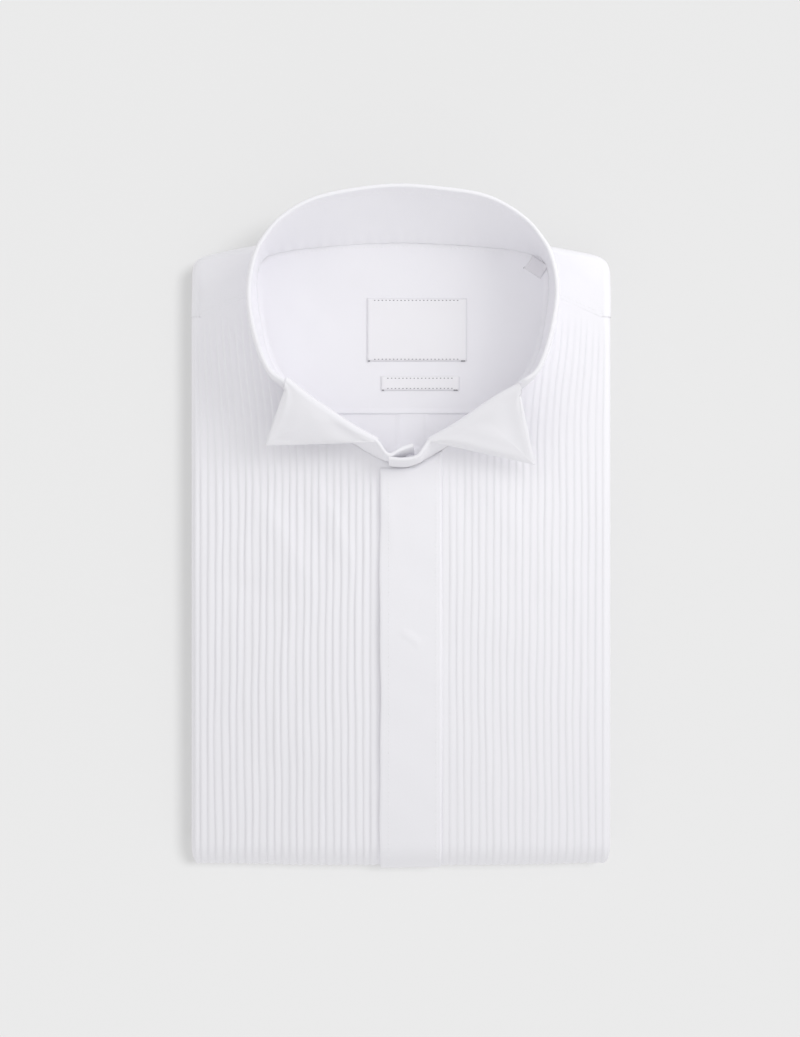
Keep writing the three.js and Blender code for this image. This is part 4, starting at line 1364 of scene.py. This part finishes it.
        # Painted shade on the wing's rolled free edge.
        for angle in np.linspace(math.pi / 2, -math.pi / 2, 7)[1:-1]:
            columns.append(edge - flat_out * half + flat_out * half * math.cos(angle) + up * half * math.sin(angle))
            painted_shading.append(0.1)
        for level in np.linspace(1, 0.0, 14):
            bow = self.wing_bow * 4 * level * (1 - level) * np.sin(np.pi * shares)
            middle = mix(root, edge - flat_out * half, level)
            columns.append(middle + up * (bow - half)[:, None])
            painted_shading.append(0.0)
        points = np.stack(columns, axis=1)
        mesh.grid(points, np.broadcast_to(np.array(painted_shading)[None, :], points.shape[:2]), flip=wing.side > 0)
        self._close_ends(mesh, points, flip=wing.side > 0)
        lines = []
        for part in (shares < wing.tip_share - 0.055, shares > wing.tip_share + 0.055):
            level = 1 - np.minimum(3.2 / reach[part, 0], 0.6)
            at = mix(root[part], (edge - flat_out * half)[part], level[:, None])
            bow = self.wing_bow * 4 * level * (1 - level) * np.sin(np.pi * shares[part])
            soft = np.array([self.wing_unevenness(wing, s, v) for s, v in zip(shares[part], level)])
            line = at + up * (bow + half - 0.06 + soft)[:, None]
            lines.append(Seam(line, np.broadcast_to(up, line.shape)))
        return lines

    def build(self, finishes: Finishes) -> tuple[bpy.types.Object, bpy.types.Object]:
        """Makes the collar.

        Args:
            finishes: the shirt's finishes.

        Returns:
            The collar and its stitches.
        """
        mesh = ClothMesh("collar_cloth")
        seams = [self._band_mesh(mesh)]
        for wing in self.wings:
            seams.extend(self._wing_mesh(wing, mesh))
        made = mesh.make(finishes.cotton)
        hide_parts("collar")
        return made, sew("collar", seams, finishes.thread)


# ---------------------------------------------------------------- hidden layers


@dataclass(frozen=True)
class Layer:
    """One flat layer of the hidden cloth, with rounded edges."""

    low: float
    high: float
    half_width: float
    y_to: float
    wander: float


@dataclass(frozen=True)
class HiddenLayers:
    """What is folded behind the chest and under it: sleeves, back and tail."""

    layers: tuple[Layer, ...] = (
        Layer(0.0, 2.25, 111.1, 142.2, 0.3),
        Layer(2.1, 4.3, 110.3, 141.0, 1.1),
        Layer(4.15, 6.35, 110.9, 142.4, 2.0),
        Layer(6.2, 8.35, 109.8, 145.0, 3.1),
        Layer(8.2, 10.45, 110.3, 146.0, 4.4),
        Layer(10.3, 12.5, 109.6, 145.2, 5.2),
    )
    y_from: float = -163.8
    corner: float = 7.0
    reach: float = 2.2

    @staticmethod
    def _samples(count: int, half: float, reach: float) -> Array:
        """Returns places from -half to half, closer together near the ends."""
        edge = reach * (1 - np.cos(np.linspace(0, math.pi / 2, 6)))
        middle = np.linspace(-half + reach, half - reach, count)
        return np.concatenate([-half + edge[:-1], middle, half - edge[:-1][::-1]])

    def _layer(self, mesh: ClothMesh, layer: Layer) -> None:
        """Adds one layer."""
        x = self._samples(30, 1.0, 0.02)[None, :]
        from_axis = FORM.mid - (layer.low + layer.high) / 2
        y_from = self.y_from - max(math.sqrt(max((FORM.bundle - 1.5) ** 2 - from_axis**2, 0.0)), 3.0)
        span = (layer.y_to - y_from) / 2
        y = (layer.y_to + y_from) / 2 + self._samples(50, span, self.reach)[:, None]
        uneven = 0.45 * np.sin(y / 37 + layer.wander) + 0.3 * np.sin(y / 15 + 2 * layer.wander)
        drop = np.clip(y - (layer.y_to - self.corner), 0, self.corner)
        rounded = self.corner - np.sqrt(np.maximum(self.corner**2 - drop**2, 0.04))
        half = layer.half_width + np.minimum(uneven, 0.25) - rounded
        half = half - (half - 108.6) * ease((self.y_from + 1.5 - y) / 4)
        wide = x * half
        inside_x = np.clip((half - np.abs(wide)) / self.reach, 0, 1)
        inside_y = np.clip(np.minimum(layer.y_to - y, y - y_from) / self.reach, 0, 1)
        full = np.sqrt(np.clip(1 - (1 - inside_x) ** 2, 0, 1)) * np.sqrt(np.clip(1 - (1 - inside_y) ** 2, 0, 1))
        middle, rise = (layer.low + layer.high) / 2, (layer.high - layer.low) / 2
        soft = 0.12 * (1 + np.sin(wide / 21 + y / 33 + layer.wander)) * full
        top = np.stack(np.broadcast_arrays(wide, y, middle + rise * full - soft * 0.3), axis=-1)
        lift = soft * (0.5 if layer.low == 0 else 0.3)
        bottom = np.stack(np.broadcast_arrays(wide, y, middle - rise * full + lift), axis=-1)
        mesh.grid(top, flip=True)
        mesh.grid(bottom, flip=False)

    def _filling(self, mesh: ClothMesh) -> None:
        """Adds the chest half's filling, with the hollow that shows through the neck."""
        x = self._samples(70, 109.6, 3.0)[None, :]
        y = self._samples(110, 160.0, 3.0)[:, None] - 3.6
        inside_x = np.clip((109.6 - np.abs(x)) / 3.0, 0, 1)
        inside_y = np.clip((156.4 - y) / 3.0, 0, 1)
        full = np.sqrt(np.clip(1 - (1 - inside_x) ** 2, 0, 1)) * np.sqrt(np.clip(1 - (1 - inside_y) ** 2, 0, 1))
        shoulder = TableCurve(((0, 157.5), (43, 155.5), (84, 148.5), (100, 145.2), (107, 141.5), (109.6, 136)))
        y = np.minimum(y, shoulder(np.abs(x)))
        crown = FORM.crown_height(x) - 1.9
        across = np.abs(x - FORM.neck_middle)
        hollow = (across < 77.5) & (y > FORM.front_neck(x) - 5) & (y < FORM.back_neck(x) + 0.5)
        lid = np.where(hollow, FORM.inside_height(x, y) - FORM.mid - 1.7, crown)
        top = np.stack(np.broadcast_arrays(x, y, FORM.mid + lid / 2 + lid / 2 * full), axis=-1)
        bottom = np.stack(np.broadcast_arrays(x, y, FORM.mid + lid / 2 - (lid / 2 - 0.1) * full), axis=-1)
        # Painted shade: the filling is darkened all over, where it shows in gaps.
        mesh.grid(top, 0.6, flip=True)
        mesh.grid(bottom, 0.6, flip=False)

    def _waist(self, mesh: ClothMesh) -> None:
        """Adds the turned core inside the waist fold."""
        x = np.linspace(-109.4, 109.4, 40)[None, :]
        turn = np.linspace(0, math.pi, 14)[:, None]
        radius = (FORM.bundle - 1.8) * np.sqrt(np.clip(1 - (np.abs(x) / 109.6) ** 40, 0, 1))
        y = FORM.y_turn - radius * np.sin(turn) + 0.8
        # Painted shade: the turned core is darkened all over.
        mesh.grid(np.stack(np.broadcast_arrays(x, y, FORM.mid + radius * np.cos(turn)), axis=-1), 0.6, flip=True)

    def build(self, finishes: Finishes) -> bpy.types.Object:
        """Makes the hidden layers.

        Args:
            finishes: the shirt's finishes.

        Returns:
            The layers, one object.
        """
        mesh = ClothMesh("hidden_layers_cloth")
        for layer in self.layers:
            self._layer(mesh, layer)
        self._filling(mesh)
        self._waist(mesh)
        made = mesh.make(finishes.cotton)
        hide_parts("folded_layers")
        return made


# ---------------------------------------------------------------- studio


@dataclass(frozen=True)
class Studio:
    """A pale floor, soft light from the upper right, and the photograph's camera."""

    view_across: float = 0.424
    height: float = 1.3
    aim: tuple[float, float, float] = (-0.0005, 0.007, 0.026)
    sensor: float = 36.0
    sky: float = 0.75
    shadow: float = 1.9
    lean: float = 0.21
    key: float = 1.62
    top: float = 0.26

    def build(self) -> None:
        """Makes the floor, the lights and the camera."""
        mesh = bpy.data.meshes.new("studio_floor")
        size, sink = 4.0, -0.0004
        corners = [(-size, -size, sink), (size, -size, sink), (size, size, sink), (-size, size, sink)]
        mesh.from_pydata(corners, [], [(0, 1, 2, 3)])
        mesh.materials.append(FloorFinish().build())
        floor = bpy.data.objects.new("studio_floor", mesh)
        bpy.context.collection.objects.link(floor)
        self._sky()
        self._floor_sun(floor)
        self._softbox("key", (0.46, 0.34, 0.42), 0.45, self.key, floor)
        self._softbox("top", (-0.2, 0.38, 0.45), 0.35, self.top, floor)
        self._camera()
        scene = bpy.context.scene
        scene.view_settings.view_transform = "Standard"
        scene.view_settings.look = "None"
        scene.view_settings.exposure = 0.0
        scene.view_settings.gamma = 1.0

    def _sky(self) -> None:
        """Makes the white surroundings, a little brighter on the side of the shirt's waist."""
        world = bpy.data.worlds.new("studio")
        world.use_nodes = True
        tree = world.node_tree
        place = tree.nodes.new("ShaderNodeTexCoord")
        parts = tree.nodes.new("ShaderNodeSeparateXYZ")
        slope = tree.nodes.new("ShaderNodeMath")
        slope.operation = "MULTIPLY_ADD"
        slope.inputs[1].default_value = -self.sky * self.lean
        slope.inputs[2].default_value = self.sky
        back = tree.nodes["Background"]
        back.inputs["Color"].default_value = (1.0, 1.0, 1.0, 1.0)
        tree.links.new(place.outputs["Generated"], parts.inputs[0])
        tree.links.new(parts.outputs["Y"], slope.inputs[0])
        tree.links.new(slope.outputs[0], back.inputs["Strength"])
        bpy.context.scene.world = world

    def _floor_sun(self, floor: bpy.types.Object) -> None:
        """Makes the broad light from the right that draws the shadow on the floor.

        Args:
            floor: the only thing it lights.
        """
        light = bpy.data.lights.new("floor_light", "SUN")
        light.energy = self.shadow
        light.angle = math.radians(17)
        lamp = bpy.data.objects.new("floor_light", light)
        lamp.rotation_euler = Vector((0.4, 0.17, 1.0)).to_track_quat("Z", "Y").to_euler()
        bpy.context.collection.objects.link(lamp)
        only = bpy.data.collections.new("floor_light_reach")
        only.objects.link(floor)
        lamp.light_linking.receiver_collection = only

    def _softbox(
        self, name: str, place: tuple[float, float, float], size: float, energy: float, floor: bpy.types.Object
    ) -> None:
        """Makes a softbox that faces the shirt and is kept off the floor.

        Args:
            name: the light's name.
            place: where it hangs, in metres.
            size: the length of its side, in metres.
            energy: its power in watts.
            floor: what it doesn't light.
        """
        light = bpy.data.lights.new(name, "AREA")
        light.shape = "SQUARE"
        light.size = size
        light.energy = energy
        lamp = bpy.data.objects.new(name, light)
        lamp.location = place
        lamp.rotation_euler = (lamp.location - Vector((0.0, 0.03, 0.03))).to_track_quat("Z", "Y").to_euler()
        bpy.context.collection.objects.link(lamp)
        only = bpy.data.collections.new(f"{name}_reach")
        only.objects.link(floor)
        lamp.light_linking.receiver_collection = only
        only.collection_objects[0].light_linking.link_state = "EXCLUDE"

    def _camera(self) -> None:
        """Makes the camera of the photograph."""
        camera = bpy.data.cameras.new("camera")
        camera.sensor_fit = "HORIZONTAL"
        camera.sensor_width = self.sensor
        camera.lens = self.sensor * self.height / self.view_across
        camera.clip_start = 0.01
        camera.clip_end = 20
        seen = bpy.data.objects.new("camera", camera)
        seen.location = Vector(self.aim) + Vector((0, 0, self.height))
        bpy.context.collection.objects.link(seen)
        bpy.context.scene.camera = seen


# ---------------------------------------------------------------- the shirt


@dataclass
class Shirt:
    """The whole shirt."""

    finishes: Finishes
    pieces: list[bpy.types.Object] = field(default_factory=list)

    def add(self, *made: bpy.types.Object) -> None:
        """Lets pieces ride on the shirt's one body."""
        for piece in made:
            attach(piece, "root")
            self.pieces.append(piece)

    def build(self) -> None:
        """Makes and dresses every piece, and lets each ride on the shirt's one body."""
        sway = (
            Wave(0.3, 500, 190, 0.4),
            Wave(0.12, 120, 83, 1.7),
            Wave(0.07, 47, 41, 0.9),
        )
        under = (20.9, 17, 12, 7, 2, -3, -8)
        right = TuckedFront(
            "front_right", -1, 12.6, 27, 3.92, under, RIGHT_RELIEF, rise=0.55, placket_edge_shadow=0.12, sway=sway
        ).build(self.finishes)
        left = TuckedFront(
            "front_left", 1, 21.5, 25, 3.87, (), LEFT_RELIEF, rise=0.36, crease_shade_strength=0.65, sway=sway
        ).build(self.finishes)
        placket, placket_seams = Placket(relief=PLACKET_RELIEF).build(self.finishes)
        yoke, yoke_seams = Yoke(YOKE_RELIEF).build(self.finishes)
        inside = NeckInside(INSIDE_RELIEF)
        yoke_inside, back_inside, inside_seams = inside.build(self.finishes)
        collar, collar_seams = Collar().build(self.finishes)
        hidden = HiddenLayers().build(self.finishes)
        main_label = SewnLabel("neck_label", 8.5, 107.2, 53, 33.2)
        small_label = SewnLabel("cloth_label", 10.2, 78.8, 41.6, 7.4, rows=12)
        main = main_label.build(inside, self.finishes.label)
        small = small_label.build(inside, self.finishes.label)
        tab_cut = SewnLabel(
            "size_tab", 72.0, 140.3, 10.0, 8.2, turn=-0.57, lift=0.1, thick=0.22,
            slot="tab", edge_shade=0.0, columns=14, rows=12,
        )
        label_seams = [label.stitches(inside, self.finishes) for label in (main_label, small_label)]
        label_seams.append(tab_cut.ticks(inside, self.finishes))
        tab = tab_cut.build(inside, self.finishes.tab)
        self.add(right, left, placket, yoke, yoke_inside, back_inside, collar, hidden, main, small, tab)
        self.add(placket_seams, yoke_seams, inside_seams, collar_seams, *label_seams)


RIGHT_RELIEF = Relief(
    waves=(Wave(0.22, 170, 210, 0.6), Wave(0.16, 95, -130, 2.2)),
    folds=(
        SoftFold((-86, 28), (-46, -36), 4.6, 0.8, bend=4, steep=1.9),
        SoftFold((-49, 32), (-24, -28), 3.8, 0.7, bend=3, steep=1.9),
        SoftFold((-68, 30), (-34, -22), 8.0, -0.45, bend=3),
        SoftFold((-98, -24), (-54, -36), 8.0, -0.75, bend=-2),
        SoftFold((-116, 62), (-68, 12), 15.0, -0.9, bend=3),
        SoftFold((-60, -60), (-92, -20), 13.0, -0.4, bend=4),
        SoftFold((-24, -132), (-84, -102), 12.0, 0.45, bend=-6),
        SoftFold((-102, -88), (-58, -154), 14.0, -0.45, bend=5),
    ),
)
LEFT_RELIEF = Relief(
    waves=(Wave(0.2, -180, 200, 1.9), Wave(0.14, 110, 140, 0.3)),
    folds=(
        SoftFold((27, 48), (38, -18), 5.0, -0.45, bend=2),
        SoftFold((38, 34), (66, -16), 9.0, 0.5, bend=3, steep=0.7),
        SoftFold((100, -6), (42, -74), 15.0, 0.6, bend=6),
        SoftFold((50, -30), (98, -62), 12.0, -0.4, bend=5),
        SoftFold((30, -112), (88, -140), 12.0, 0.4, bend=-5),
    ),
)
PLACKET_RELIEF = Relief(
    waves=(Wave(0.14, 90, 75, 0.2), Wave(0.08, 40, 31, 1.2)),
    folds=(
        SoftFold((-2, -52), (12, -62), 2.2, 0.5, bend=1.0),
        SoftFold((-9, 24), (-4, -20), 3.5, 0.25, bend=1.0),
    ),
)
YOKE_RELIEF = Relief(
    waves=(Wave(0.18, 60, 90, 0.7), Wave(0.1, 31, -47, 1.4)),
    folds=(
        SoftFold((84, 146), (108, 128), 4.5, 0.4, bend=2),
        SoftFold((-84, 146), (-104, 132), 5.0, -0.3, bend=-2),
        SoftFold((-88, 132), (-109, 139), 4.0, 0.35, bend=1),
    ),
)
INSIDE_RELIEF = Relief(
    waves=(Wave(0.16, 75, 110, 0.9), Wave(0.08, 33, -52, 0.2)),
    folds=(
        SoftFold((-66, 128), (-36, 96), 6.0, 0.4, bend=3),
        SoftFold((44, 134), (62, 100), 6.0, -0.3, bend=2),
    ),
)


def main() -> None:
    """Loads the frame, builds the shirt and the studio, and reports each piece."""
    logging.basicConfig(level=logging.INFO, format="%(name)s: %(message)s")
    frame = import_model()
    LOG.info("%d nodes", len(frame["nodes"]))
    shirt = Shirt(Finishes.build())
    shirt.build()
    for piece in shirt.pieces:
        LOG.info("%s: %d faces", piece.name, len(piece.data.polygons))
    Studio().build()
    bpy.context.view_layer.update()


if __name__ == "__main__":
    main()
